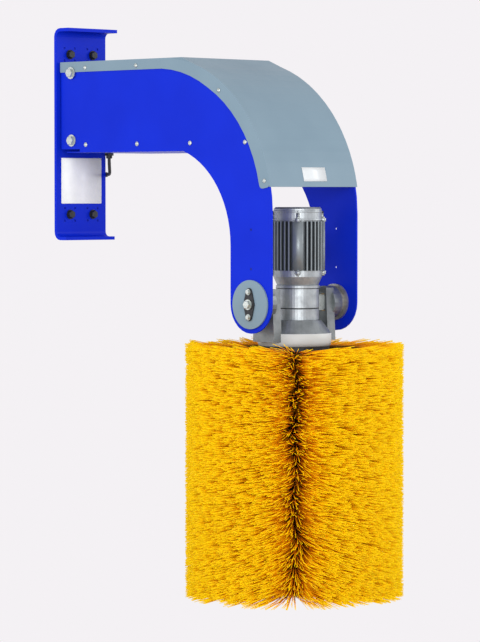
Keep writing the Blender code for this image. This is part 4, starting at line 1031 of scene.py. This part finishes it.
@dataclass(frozen=True)
class PlateDress:
    """Dark discs in the left side plate's two sight holes: painted shade of the arm's inside.

    Attributes:
        finishes: All materials.
        rises: Heights of the holes above the pivot.
        radius, depth: Size of a disc, which ends flush with the plate.
        shoulder, face: Share of the depth where the bevel starts, and of the radius where it ends.
        segments: Facets round a disc.
    """

    finishes: Finishes
    rises: Pair = (0.080, 0.169)
    radius: float = 0.0029
    depth: float = 0.0022
    shoulder: float = 0.72
    face: float = 0.76
    segments: int = 14

    def build(self) -> list[Any]:
        """Turn one disc and set it in both holes.

        Returns:
            The discs, as one piece.
        """
        hole_shade = lathe([(0, 0.0), (self.radius, 0.0), (self.radius, self.depth * self.shoulder),
                      (self.radius * self.face, self.depth), (0, self.depth)], self.segments)
        places = [facing((PIVOT.x, Side.LEFT.outside(-self.depth), PIVOT.z + rise), (0, -1, 0))
                  for rise in self.rises]
        return [add_piece(hole_shade.repeated(places).mesh("sight_hole_shades"), self.finishes.hole_shade,
                          Body.ARM)]


@dataclass(frozen=True)
class CradleDress:
    """Pale painted band round the rim of the cradle's dish, half a millimetre proud of it.

    Attributes:
        finishes: All materials.
        profile: Radius and height of each corner, relative to the brush's axis and the pivot.
        segments: Facets round the band.
    """

    finishes: Finishes
    profile: tuple[Pair, ...] = ((0.0800, -0.0966), (0.0822, -0.0960), (0.0845, -0.0882),
                                 (0.0845, -0.0684), (0.0838, -0.0676), (0.0800, -0.0676))
    segments: int = 96

    def build(self) -> list[Any]:
        """Turn the band.

        Returns:
            The band.
        """
        shape = lathe(self.profile, self.segments, ring=True)
        shape = shape.repeated([Matrix.Translation(PIVOT)])
        return [add_piece(shape.mesh("dish_band"), self.finishes.pale, Body.SWING)]


@dataclass(frozen=True)
class MotorDress:
    """Lugs, screws, ribs, clips, cap bands and gasket lines of the geared motor.

    Attributes:
        finishes: All materials.
        screw: Head of the case screws.
        lug_reach, lug_heights: Distance of the lugs from the axis, and heights above the pivot.
        lug_radius, lug_height, lug_edge: Size of a lug and of its bevel.
        lug_segments, ring_segments: Facets round a lug and round a ring.
        rib, clip, clip_slot_shade: Opposite corners of each box, drawn along +X from the axis.
        cap_inner, gasket_inner: Inner radii of the cap's bands and of the gaskets.
        cap_rim, cap_band, gaskets: Outer radius, foot and top of each ring.
        bevel_parts: Height of a ring divided by that of its bevel.
    """

    finishes: Finishes
    screw: ScrewHead = ScrewHead(radius=0.0042, height=0.0040, socket=0.0020, depth=0.0015,
                                 segments=12)
    lug_reach: float = 0.0580
    lug_heights: Pair = (0.0702, 0.1904)
    lug_radius: float = 0.0068
    lug_height: float = 0.0080
    lug_edge: float = 0.0006
    lug_segments: int = 16
    ring_segments: int = 64
    rib: tuple[Point, Point] = ((0.0560, -0.0125, 0.0760), (0.0622, 0.0125, 0.1866))
    clip: tuple[Point, Point] = ((0.0540, -0.0042, 0.1935), (0.0584, 0.0042, 0.2060))
    clip_slot_shade: tuple[Point, Point] = ((0.0545, -0.0007, 0.1960), (0.0590, 0.0007, 0.2110))
    cap_inner: float = 0.0540
    cap_rim: Point = (0.0562, 0.2075, 0.2117)
    cap_band: Point = (0.0566, 0.1890, 0.1930)
    gasket_inner: float = 0.0470
    gaskets: tuple[Point, Point] = ((0.0488, -0.0121, -0.0111), (0.0503, 0.0334, 0.0350))
    bevel_parts: float = 6.0

    def lugs(self) -> list[Any]:
        """Place the screws at the motor's four corners and the lugs that they stand on.

        Returns:
            The screws and the lugs, as one piece each.
        """
        half = self.lug_height / 2
        screws, lugs = [], []
        for azimuth in QUARTER_AZIMUTHS:
            out = Vector((math.cos(azimuth), math.sin(azimuth), 0)) * self.lug_reach
            for height, sign in zip(self.lug_heights, (-1, 1)):
                spot = MOTOR_AXIS + out + Vector((0, 0, height))
                screws.append(facing(spot + Vector((0, 0, sign * half)), (0, 0, sign)))
                lugs.append(Matrix.Translation(spot - Vector((0, 0, half))))
        wide, edge, tall = self.lug_radius, self.lug_edge, self.lug_height
        lug = lathe([(0, 0.0), (wide - edge, 0.0), (wide, edge), (wide, tall - edge),
                     (wide - edge, tall), (0, tall)], self.lug_segments)
        return [add_piece(self.screw.shape().repeated(screws).mesh("motor_screws"),
                          self.finishes.by_slot[Slot.ZINC], Body.SWING),
                add_piece(lug.repeated(lugs).mesh("motor_lugs"),
                          self.finishes.by_slot[Slot.CAST], Body.SWING)]

    def boxes(self) -> list[Any]:
        """Place the wide ribs, and the clips of the top cap with dark strips of painted shade for
        slots.

        Returns:
            The ribs, the clips and the slots' painted shade, as one piece each.
        """
        turns = [Matrix.Translation(MOTOR_AXIS) @ Matrix.Rotation(azimuth, 4, "Z")
                 for azimuth in QUARTER_AZIMUTHS]
        by_slot = self.finishes.by_slot
        # The ribs take the motor housing's finish, whose painted highlight colours their faces
        rows = (("motor_ribs", self.rib, self.finishes.housing, Slot.CAST),
                ("cap_clips", self.clip, by_slot[Slot.CAST], Slot.CAST),
                # The clips' slots are dark boxes of painted shade
                ("clip_slot_shades", self.clip_slot_shade, by_slot[Slot.DARK], Slot.DARK))
        return [add_piece(block(*corners).repeated(turns).mesh(name, smooth=False), material,
                          Body.SWING) for name, corners, material, slot in rows]

    def ring(self, name: str, inner: float, sizes: Point, slot: Slot) -> Any:
        """Make a ring with two bevelled edges round the motor's axis.

        Args:
            name: Name of the piece.
            inner: Inner radius.
            sizes: Outer radius, foot and top.
            slot: Record slot, which gives the material.

        Returns:
            The ring.
        """
        outer, low, high = sizes
        edge = (high - low) / self.bevel_parts
        shape = lathe([(inner, low), (outer - edge, low), (outer, low + edge),
                       (outer, high - edge), (outer - edge, high), (inner, high)],
                      self.ring_segments, ring=True)
        return add_piece(shape.repeated([Matrix.Translation(MOTOR_AXIS)]).mesh(name),
                         self.finishes.by_slot[slot], Body.SWING)

    def build(self) -> list[Any]:
        """Build everything on the motor.

        Returns:
            All pieces.
        """
        seals = [self.ring(f"case_gasket_{number}", self.gasket_inner, sizes, Slot.DARK)
                 for number, sizes in enumerate(self.gaskets, 1)]
        return [*self.lugs(), *self.boxes(), *seals,
                self.ring("cap_rim", self.cap_inner, self.cap_rim, Slot.CAST),
                self.ring("cap_band", self.cap_inner, self.cap_band, Slot.CAST)]


@dataclass(frozen=True)
class BristleBrush:
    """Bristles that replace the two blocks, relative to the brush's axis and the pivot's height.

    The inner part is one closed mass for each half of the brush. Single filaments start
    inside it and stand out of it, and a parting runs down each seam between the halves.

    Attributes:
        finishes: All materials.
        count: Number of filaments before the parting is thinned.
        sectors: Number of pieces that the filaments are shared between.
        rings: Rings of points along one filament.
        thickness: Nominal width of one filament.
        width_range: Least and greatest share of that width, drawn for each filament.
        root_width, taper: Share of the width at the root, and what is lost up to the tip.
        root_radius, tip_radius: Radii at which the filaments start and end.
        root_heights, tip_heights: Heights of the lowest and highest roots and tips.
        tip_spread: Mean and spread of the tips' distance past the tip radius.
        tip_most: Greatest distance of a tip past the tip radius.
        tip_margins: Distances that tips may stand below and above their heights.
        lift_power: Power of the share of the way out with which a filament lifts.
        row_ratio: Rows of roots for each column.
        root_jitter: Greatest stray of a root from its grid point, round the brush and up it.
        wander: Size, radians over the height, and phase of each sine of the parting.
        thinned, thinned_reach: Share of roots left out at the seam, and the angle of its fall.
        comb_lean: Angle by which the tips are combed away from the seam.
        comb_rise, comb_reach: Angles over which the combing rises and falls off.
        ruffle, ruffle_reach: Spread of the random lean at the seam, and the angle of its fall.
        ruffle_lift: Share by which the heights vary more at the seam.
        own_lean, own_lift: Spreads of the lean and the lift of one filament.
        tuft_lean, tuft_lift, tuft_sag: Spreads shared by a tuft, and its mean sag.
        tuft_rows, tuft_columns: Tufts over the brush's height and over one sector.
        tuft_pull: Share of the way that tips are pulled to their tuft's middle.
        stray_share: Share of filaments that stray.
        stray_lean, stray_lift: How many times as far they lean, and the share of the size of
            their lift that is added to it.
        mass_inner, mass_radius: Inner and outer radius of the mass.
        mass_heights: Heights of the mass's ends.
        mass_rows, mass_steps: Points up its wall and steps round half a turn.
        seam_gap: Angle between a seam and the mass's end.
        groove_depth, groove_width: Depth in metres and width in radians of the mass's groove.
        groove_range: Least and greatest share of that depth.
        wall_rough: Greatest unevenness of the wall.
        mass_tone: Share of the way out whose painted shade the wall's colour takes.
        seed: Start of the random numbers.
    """

    finishes: Finishes
    count: int = 58000
    sectors: int = 8
    rings: int = 4
    thickness: float = 0.0017
    width_range: Pair = (0.8, 1.2)
    root_width: float = 1.05
    taper: float = 0.25
    root_radius: float = 0.110
    tip_radius: float = 0.2480
    root_heights: Pair = (-0.654, -0.103)
    tip_heights: Pair = (-0.669, -0.091)
    tip_spread: Pair = (-0.0010, 0.0026)
    tip_most: float = 0.0030
    tip_margins: Pair = (0.004, 0.009)
    lift_power: float = 1.6
    row_ratio: float = 1.1
    root_jitter: Pair = (0.32, 0.42)
    wander: tuple[Point, Point] = ((0.030, 21.0, 0.0), (0.022, 47.0, 1.3))
    thinned: float = 0.42
    thinned_reach: float = 0.13
    comb_lean: float = 0.22
    comb_rise: float = 0.11
    comb_reach: float = 0.6
    ruffle: float = 0.045
    ruffle_reach: float = 0.20
    ruffle_lift: float = 2.4
    own_lean: float = 0.017
    own_lift: float = 0.0024
    tuft_lean: float = 0.034
    tuft_lift: float = 0.0034
    tuft_sag: float = 0.002
    tuft_rows: int = 36
    tuft_columns: int = 9
    tuft_pull: float = 0.20
    stray_share: float = 0.015
    stray_lean: float = 1.8
    stray_lift: float = 0.8
    mass_inner: float = 0.0412
    mass_radius: float = 0.196
    mass_heights: Pair = (-0.650, -0.112)
    mass_rows: int = 40
    mass_steps: int = 72
    seam_gap: float = 0.004
    groove_depth: float = 0.100
    groove_width: float = 0.115
    groove_range: Pair = (0.55, 1.25)
    wall_rough: float = 0.005
    mass_tone: float = 0.80
    seed: int = 20

    def parting(self, azimuth: Array, share: Array) -> Array:
        """Work out the signed angle from each azimuth to its nearer seam.

        The parting wanders from the straight seam by two sines of the share of the height.

        Args:
            azimuth, share: Places on the brush.

        Returns:
            The angles.
        """
        wander = sum(size * np.sin(share * rate + phase) for size, rate, phase in self.wander)
        return (azimuth + wander - SEAM_AZIMUTH + math.pi / 2) % math.pi - math.pi / 2

    def roots(self, draw: Any, start: float, end: float) -> tuple[Array, Array]:
        """Lay roots on a jittered grid of one sector and thin them beside the parting.

        Odd rows stand half a step on from even ones.

        Args:
            draw: Random number generator.
            start, end: Azimuths of the sector.

        Returns:
            The azimuth and the share of the height of each root.
        """
        wanted = self.count // self.sectors
        rows = int(round(math.sqrt(wanted * self.row_ratio)))
        columns = int(math.ceil(wanted / rows))
        row, column = np.divmod(np.arange(rows * columns), columns)
        round_it, up_it = self.root_jitter
        place = column + (row % 2) * 0.5 + 0.25 + draw.uniform(-round_it, round_it, len(row))
        azimuth = start + (end - start) * place / columns
        share = (row + 0.5 + draw.uniform(-up_it, up_it, len(row))) / rows
        share = np.clip(share, 0.0, 1.0)
        thin = self.thinned * np.exp(-(self.parting(azimuth, share) / self.thinned_reach) ** 2)
        kept = draw.random(len(azimuth)) > thin
        return azimuth[kept], share[kept]

    def offsets(self, draw: Any, azimuth: Array, share: Array) -> tuple[Array, Array]:
        """Work out how far each tip leans from its root.

        A lean is the sum of a random part shared by the filament's tuft, a smaller random part of
        its own, a pull towards the tuft's middle, and two parts beside the seam: the combing away
        from it, which is a hyperbolic tangent times an exponential of the angle to the seam, and
        a random ruffle that falls off exponentially. The grid of tufts steps up or down by half a
        tuft from each column to the next.

        Args:
            draw: Random number generator.
            azimuth, share: Places of the roots.

        Returns:
            The lean as an azimuth and the lift as a height.
        """
        count = len(azimuth)
        away = self.parting(azimuth, share)
        near = np.exp(-np.abs(away) / self.ruffle_reach)
        apart = (self.comb_lean * np.tanh(away / self.comb_rise)
                 * np.exp(-np.abs(away) / self.comb_reach)
                 + draw.normal(0.0, self.ruffle, count) * near)
        wide = np.ptp(azimuth) / self.tuft_columns
        tall = (self.tip_heights[1] - self.tip_heights[0]) / self.tuft_rows
        column = (azimuth - azimuth.min()) / wide
        row = share * self.tuft_rows + 0.5 * np.floor(column)
        tufts = (2 * self.tuft_rows, self.tuft_columns)
        cell = (np.floor(row).astype(int) % tufts[0],
                np.minimum(np.floor(column).astype(int), tufts[1] - 1))
        shared_lean = draw.normal(0.0, self.tuft_lean, tufts)[cell]
        shared_lift = draw.normal(-self.tuft_sag, self.tuft_lift, tufts)[cell]
        pull = self.tuft_pull * (np.floor(column) + 0.5 - column) * wide
        squeeze = self.tuft_pull * (np.floor(row) + 0.5 - row) * tall
        lean = draw.normal(0.0, self.own_lean, count) + shared_lean + pull + apart
        lift = (draw.normal(0.0, self.own_lift, count) * (1.0 + self.ruffle_lift * near)
                + shared_lift + squeeze)
        stray = draw.random(count) > 1.0 - self.stray_share
        return (np.where(stray, lean * self.stray_lean, lean),
                np.where(stray, np.abs(lift) * self.stray_lift + lift, lift))

    def lines(self, draw: Any, azimuth: Array, share: Array) -> tuple[Array, Array, Array]:
        """Lay the middle line of each filament.

        The line goes out evenly with t from 0 at its root to 1 at its tip. Its lean grows with t
        squared, and its height with t to the lift power.

        Args:
            draw: Random number generator.
            azimuth, share: Places of the roots.

        Returns:
            The points (n, rings, 3), their azimuths (n, rings) and the values of t (1, rings).
        """
        lean, lift = self.offsets(draw, azimuth, share)
        reach = self.tip_radius + np.minimum(draw.normal(*self.tip_spread, len(azimuth)),
                                             self.tip_most)
        (root_low, root_high), (tip_low, tip_high) = self.root_heights, self.tip_heights
        root_z = root_low + (root_high - root_low) * share
        tip_z = np.clip(tip_low + (tip_high - tip_low) * share + lift,
                        tip_low - self.tip_margins[0], tip_high + self.tip_margins[1])
        t = np.linspace(0.0, 1.0, self.rings)[None, :]
        radius = self.root_radius + (reach[:, None] - self.root_radius) * t
        turn = azimuth[:, None] + lean[:, None] * t ** 2
        z = root_z[:, None] + (tip_z - root_z)[:, None] * t ** self.lift_power
        line = np.stack([radius * np.cos(turn), radius * np.sin(turn), z], axis=2)
        return line + np.array(PIVOT), turn, t

    def filaments(self, draw: Any, azimuth: Array, share: Array) -> Shape:
        """Grow the filaments of one sector.

        Three points stand round the middle line at each ring, at width times the cosine of an
        angle to the side plus the sine of it upwards, and the width falls towards the tip.

        Args:
            draw: Random number generator.
            azimuth, share: Places of the roots.

        Returns:
            The closed filaments, with t and a random number as UV values.
        """
        count, rings = len(azimuth), self.rings
        line, turn, t = self.lines(draw, azimuth, share)
        side = np.stack([-np.sin(turn), np.cos(turn), np.zeros_like(turn)], axis=2)
        width = (self.thickness / 2 * (self.root_width - self.taper * t)
                 * draw.uniform(*self.width_range, (count, 1)))
        angle = draw.uniform(0, 2 * math.pi, (count, 1)) + np.arange(3) * 2 * math.pi / 3
        angle = angle[:, None, :, None]
        spokes = np.cos(angle) * side[:, :, None, :] + np.sin(angle) * np.array([0.0, 0.0, 1.0])
        points = line[:, :, None, :] + width[:, :, None, None] * spokes
        uv = np.zeros((count, rings, 3, 2))
        # The first UV value, t, sets the bristles' painted shade, darkest at the root
        uv[..., 0] = t[..., None]
        uv[..., 1] = draw.random(count)[:, None, None]
        base = np.arange(count)[:, None, None] * rings * 3
        low = base + np.arange(rings - 1)[None, :, None] * 3
        step = np.arange(3)
        nxt = (step + 1) % 3
        quads = np.stack([low + step, low + nxt, low + nxt + 3, low + step + 3], axis=3)
        ends = [base[:, 0, :] + step[::-1], base[:, 0, :] + (rings - 1) * 3 + step]
        return Shape(points.reshape(-1, 3), quads.reshape(-1, 4), np.concatenate(ends),
                     uv.reshape(-1, 2))

    def mass(self, draw: Any, start: float) -> Shape:
        """Build one half's packed mass from a start azimuth through half a turn.

        Its section is a closed loop of points, which is repeated at even steps of azimuth. The
        outer wall is uneven by a few millimetres, and beside the seams it falls back by the
        groove's depth times e to the power of minus the squared share of the groove's width.

        Args:
            draw: Random number generator.
            start: Azimuth of the seam where it begins.

        Returns:
            The closed mass, with UV values that paint shade on it, darkest in its groove.
        """
        low, high = self.mass_heights
        azimuth = np.linspace(start + self.seam_gap, start + math.pi - self.seam_gap,
                              self.mass_steps + 1)
        heights = np.linspace(low, high, self.mass_rows)
        away = self.parting(azimuth[:, None], ((heights - low) / (high - low))[None, :])
        fall = self.groove_depth * np.exp(-(away / self.groove_width) ** 2)
        wall = (self.mass_radius - fall * draw.uniform(*self.groove_range, (1, self.mass_rows))
                + draw.uniform(-self.wall_rough, self.wall_rough, fall.shape))
        radius = np.pad(wall, ((0, 0), (1, 1)), constant_values=self.mass_inner)
        z = np.concatenate([[low], heights, [high]])[None, :]
        loop = self.mass_rows + 2
        points = np.stack([radius * np.cos(azimuth)[:, None], radius * np.sin(azimuth)[:, None],
                           np.broadcast_to(z, radius.shape)], axis=2) + np.array(PIVOT)
        step = np.arange(self.mass_steps)[:, None] * loop
        row = np.arange(loop)[None, :]
        nxt = (row + 1) % loop
        quads = np.stack([step + row, step + row + loop, step + nxt + loop, step + nxt],
                         axis=2).reshape(-1, 4)
        fan = np.arange(1, loop - 1)
        first = np.stack([np.zeros_like(fan), fan, fan + 1], axis=1)
        ends = np.concatenate([first, first[:, ::-1] + self.mass_steps * loop])
        # The mass takes the bristles' painted shade, darkest in the groove
        share = (radius - self.mass_inner) / (self.mass_radius - self.mass_inner)
        uv = np.stack([share * self.mass_tone, draw.random(share.shape)], axis=2)
        return Shape(points.reshape(-1, 3), quads, ends, uv.reshape(-1, 2))

    def build(self) -> list[Any]:
        """Build both masses and all sectors of filaments, from the seam onward.

        Returns:
            The pieces, each of which stands for part of a half of the brush.
        """
        draw = np.random.default_rng(self.seed)
        halves = ("brush_half_right", "brush_half_left")
        shapes = [(f"bristle_mass_{number + 1}", half,
                   self.mass(draw, SEAM_AZIMUTH + number * math.pi))
                  for number, half in enumerate(halves)]
        width = 2 * math.pi / self.sectors
        for sector in range(self.sectors):
            start = SEAM_AZIMUTH + sector * width
            azimuth, share = self.roots(draw, start, start + width)
            shapes.append((f"bristles_{sector + 1}", halves[2 * sector // self.sectors],
                           self.filaments(draw, azimuth, share)))
        pieces = []
        for name, half, shape in shapes:
            pieces.append(add_piece(shape.mesh(name), self.finishes.by_slot[Slot.BRISTLE],
                                    Body.BRUSH))
            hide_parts(half)
        return pieces


@dataclass(frozen=True)
class SupplyCable:
    """Smooth sheath on the CAD cable's route, from the gland under the pan to the wall.

    Attributes:
        finishes: All materials.
        start: X and Y of the gland's line.
        route: Distances along X and Y from that line, and heights.
        radius: Radius of the sheath, just under that of the CAD cable.
        samples: Points for each span of the route.
        round_steps: Finer steps of the sheath's roundness, as Blender counts them.
    """

    finishes: Finishes
    start: Pair = (0.041, 0.061)
    route: tuple[Point, ...] = (
        (0.0, 0.0, -0.0576), (0.0, 0.0, -0.0626), (-0.0012, 0.0016, -0.0739),
        (-0.0045, 0.0053, -0.0829), (-0.0096, 0.0103, -0.0896), (-0.0165, 0.0156, -0.0940),
        (-0.0253, 0.0207, -0.0956), (-0.0294, 0.0225, -0.0956), (-0.0342, 0.0243, -0.0956))
    radius: float = 0.00395
    samples: int = 3
    round_steps: int = 4

    def line(self) -> Array:
        """Lay points on the Catmull-Rom curve through the route.

        A span from b to c, with neighbours a and d, is half of 2 b, plus (c - a) t, plus
        (2 a - 5 b + 4 c - d) t squared, plus (3 b - a - 3 c + d) t cubed.

        Returns:
            The points, shape (n, 3).
        """
        points = np.array(self.route) + np.array([*self.start, 0.0])
        ends = np.concatenate([points[:1], points, points[-1:]])
        a, b, c, d = (ends[k:len(ends) - 3 + k, None, :] for k in range(4))
        t = (np.arange(self.samples) / self.samples)[None, :, None]
        spans = (2 * b + (c - a) * t + (2 * a - 5 * b + 4 * c - d) * t ** 2
                 + (3 * b - a - 3 * c + d) * t ** 3) / 2
        return np.concatenate([spans.reshape(-1, 3), points[-1:]])

    def build(self) -> list[Any]:
        """Draw the sheath, which replaces the CAD cable.

        Returns:
            The sheath.
        """
        line = self.line()
        curve = bpy.data.curves.new("cable_sheath", "CURVE")
        curve.dimensions = "3D"
        curve.bevel_depth = self.radius
        curve.bevel_resolution = self.round_steps
        curve.use_fill_caps = True
        spline = curve.splines.new("POLY")
        spline.points.add(len(line) - 1)
        spline.points.foreach_set("co", np.column_stack([line, np.ones(len(line))]).ravel())
        spline.use_smooth = True
        piece = add_piece(curve, self.finishes.by_slot[Slot.RUBBER], Body.ARM)
        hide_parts("supply_cable")
        return [piece]


@dataclass(frozen=True)
class PhotoCamera:
    """Camera fitted to the photograph.

    Attributes:
        azimuth: Direction of the picture's right-hand axis from +X, in degrees.
        place: Position in metres.
        tilt: Downward tilt in degrees.
        lens, sensor: Focal length, and the sensor on the picture's long side, in millimetres.
        sight: Distance in metres up to which the camera sees.
    """

    azimuth: float = 45.5
    place: Point = (5.7229, -5.0786, -0.1392)
    tilt: float = 2.33
    lens: float = 177.1
    sensor: float = 36.0
    sight: float = 100.0

    def build(self) -> None:
        """Make the camera and set it as the scene's camera."""
        data = bpy.data.cameras.new("photo_camera")
        data.lens = self.lens
        data.sensor_width = self.sensor
        data.clip_end = self.sight
        camera = bpy.data.objects.new("photo_camera", data)
        bpy.context.scene.collection.objects.link(camera)
        turn, tilt = math.radians(self.azimuth), math.radians(self.tilt)
        ahead = Vector((-math.sin(turn) * math.cos(tilt), math.cos(turn) * math.cos(tilt),
                        -math.sin(tilt)))
        camera.location = self.place
        camera.rotation_mode = "QUATERNION"
        camera.rotation_quaternion = ahead.to_track_quat("-Z", "Y")
        bpy.context.scene.camera = camera


@dataclass(frozen=True)
class Studio:
    """Pale floor, even surroundings and three soft lights.

    Attributes:
        backdrop: Colour of the surroundings, which also light the object.
        lamps: Name, place, size in metres and power in watts of each square light.
        target: Point that the lights face.
        floor_middle, floor_z: Place of the round floor's top.
        floor_radius, floor_thickness, floor_segments: Size of the floor and facets round it.
        floor_light, floor_dark, floor_rough: Colours and roughness of the floor.
        patch_scale, grain_scale: Cells to the metre of its patches and its grain.
        grain_depth, grain_strength: Depth of the grain, and the share of it that is used.
    """

    backdrop: Colour = (0.905, 0.880, 0.905)
    lamps: tuple[tuple[str, Point, float, float], ...] = (
        ("front", (4.1, -2.6, 0.3), 2.4, 95.0), ("side", (-0.9, -3.4, 0.4), 1.8, 36.0),
        ("rim", (2.4, 3.0, 0.8), 1.5, 30.0))
    target: Point = (0.45, 0.07, -0.4)
    floor_middle: Pair = (0.45, 0.07)
    floor_z: float = -1.46
    floor_radius: float = 1.3
    floor_thickness: float = 0.002
    floor_segments: int = 64
    floor_light: Colour = (0.65, 0.635, 0.65)
    floor_dark: Colour = (0.69, 0.675, 0.69)
    floor_rough: float = 0.8
    patch_scale: float = 3.0
    grain_scale: float = 60.0
    grain_depth: float = 0.0001
    grain_strength: float = 0.1

    def surroundings(self) -> None:
        """Surround the object with the even backdrop."""
        world = bpy.data.worlds.new("studio")
        world.use_nodes = True
        background = world.node_tree.nodes["Background"]
        background.inputs["Color"].default_value = (*self.backdrop, 1.0)
        background.inputs["Strength"].default_value = 1.0
        bpy.context.scene.world = world

    def floor(self) -> None:
        """Add the floor as a thin round plate."""
        top, foot = self.floor_z, self.floor_z - self.floor_thickness
        shape = lathe([(0, foot), (self.floor_radius, foot), (self.floor_radius, top), (0, top)],
                      self.floor_segments)
        middle = Matrix.Translation((*self.floor_middle, 0.0))
        mesh = shape.repeated([middle]).mesh("floor", smooth=False)
        floor = bpy.data.objects.new("floor", mesh)
        bpy.context.scene.collection.objects.link(floor)
        surface = Surface("floor_pale")
        colour = surface.mix(surface.noise(self.patch_scale), self.floor_light, self.floor_dark)
        material = surface.dress({"Base Color": colour, "Roughness": self.floor_rough},
                                 surface.noise(self.grain_scale), self.grain_depth,
                                 self.grain_strength)
        mesh.materials.append(material)

    def build(self) -> None:
        """Add the backdrop, the floor and the lights."""
        self.surroundings()
        self.floor()
        for name, place, size, power in self.lamps:
            data = bpy.data.lights.new(name, "AREA")
            data.size = size
            data.energy = power
            light = bpy.data.objects.new(name, data)
            bpy.context.scene.collection.objects.link(light)
            light.location = place
            light.rotation_mode = "QUATERNION"
            aim = Vector(self.target) - Vector(place)
            light.rotation_quaternion = aim.to_track_quat("-Z", "Y")


def main() -> None:
    """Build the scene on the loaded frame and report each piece."""
    logging.basicConfig(level=logging.INFO)
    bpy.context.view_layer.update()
    PhotoCamera().build()
    finishes = Finishes()
    finishes.paint_frame()
    for kind in (SupplyCable, BristleBrush, BracketDress, HoodDress, PlateDress, CradleDress,
                 MotorDress):
        for piece in kind(finishes).build():
            LOG.info("%s: piece %s in %s", kind.__name__, piece.name, piece.active_material.name)
    Studio().build()
    bpy.context.scene.view_settings.view_transform = "Standard"


if __name__ == "__main__":
    main()
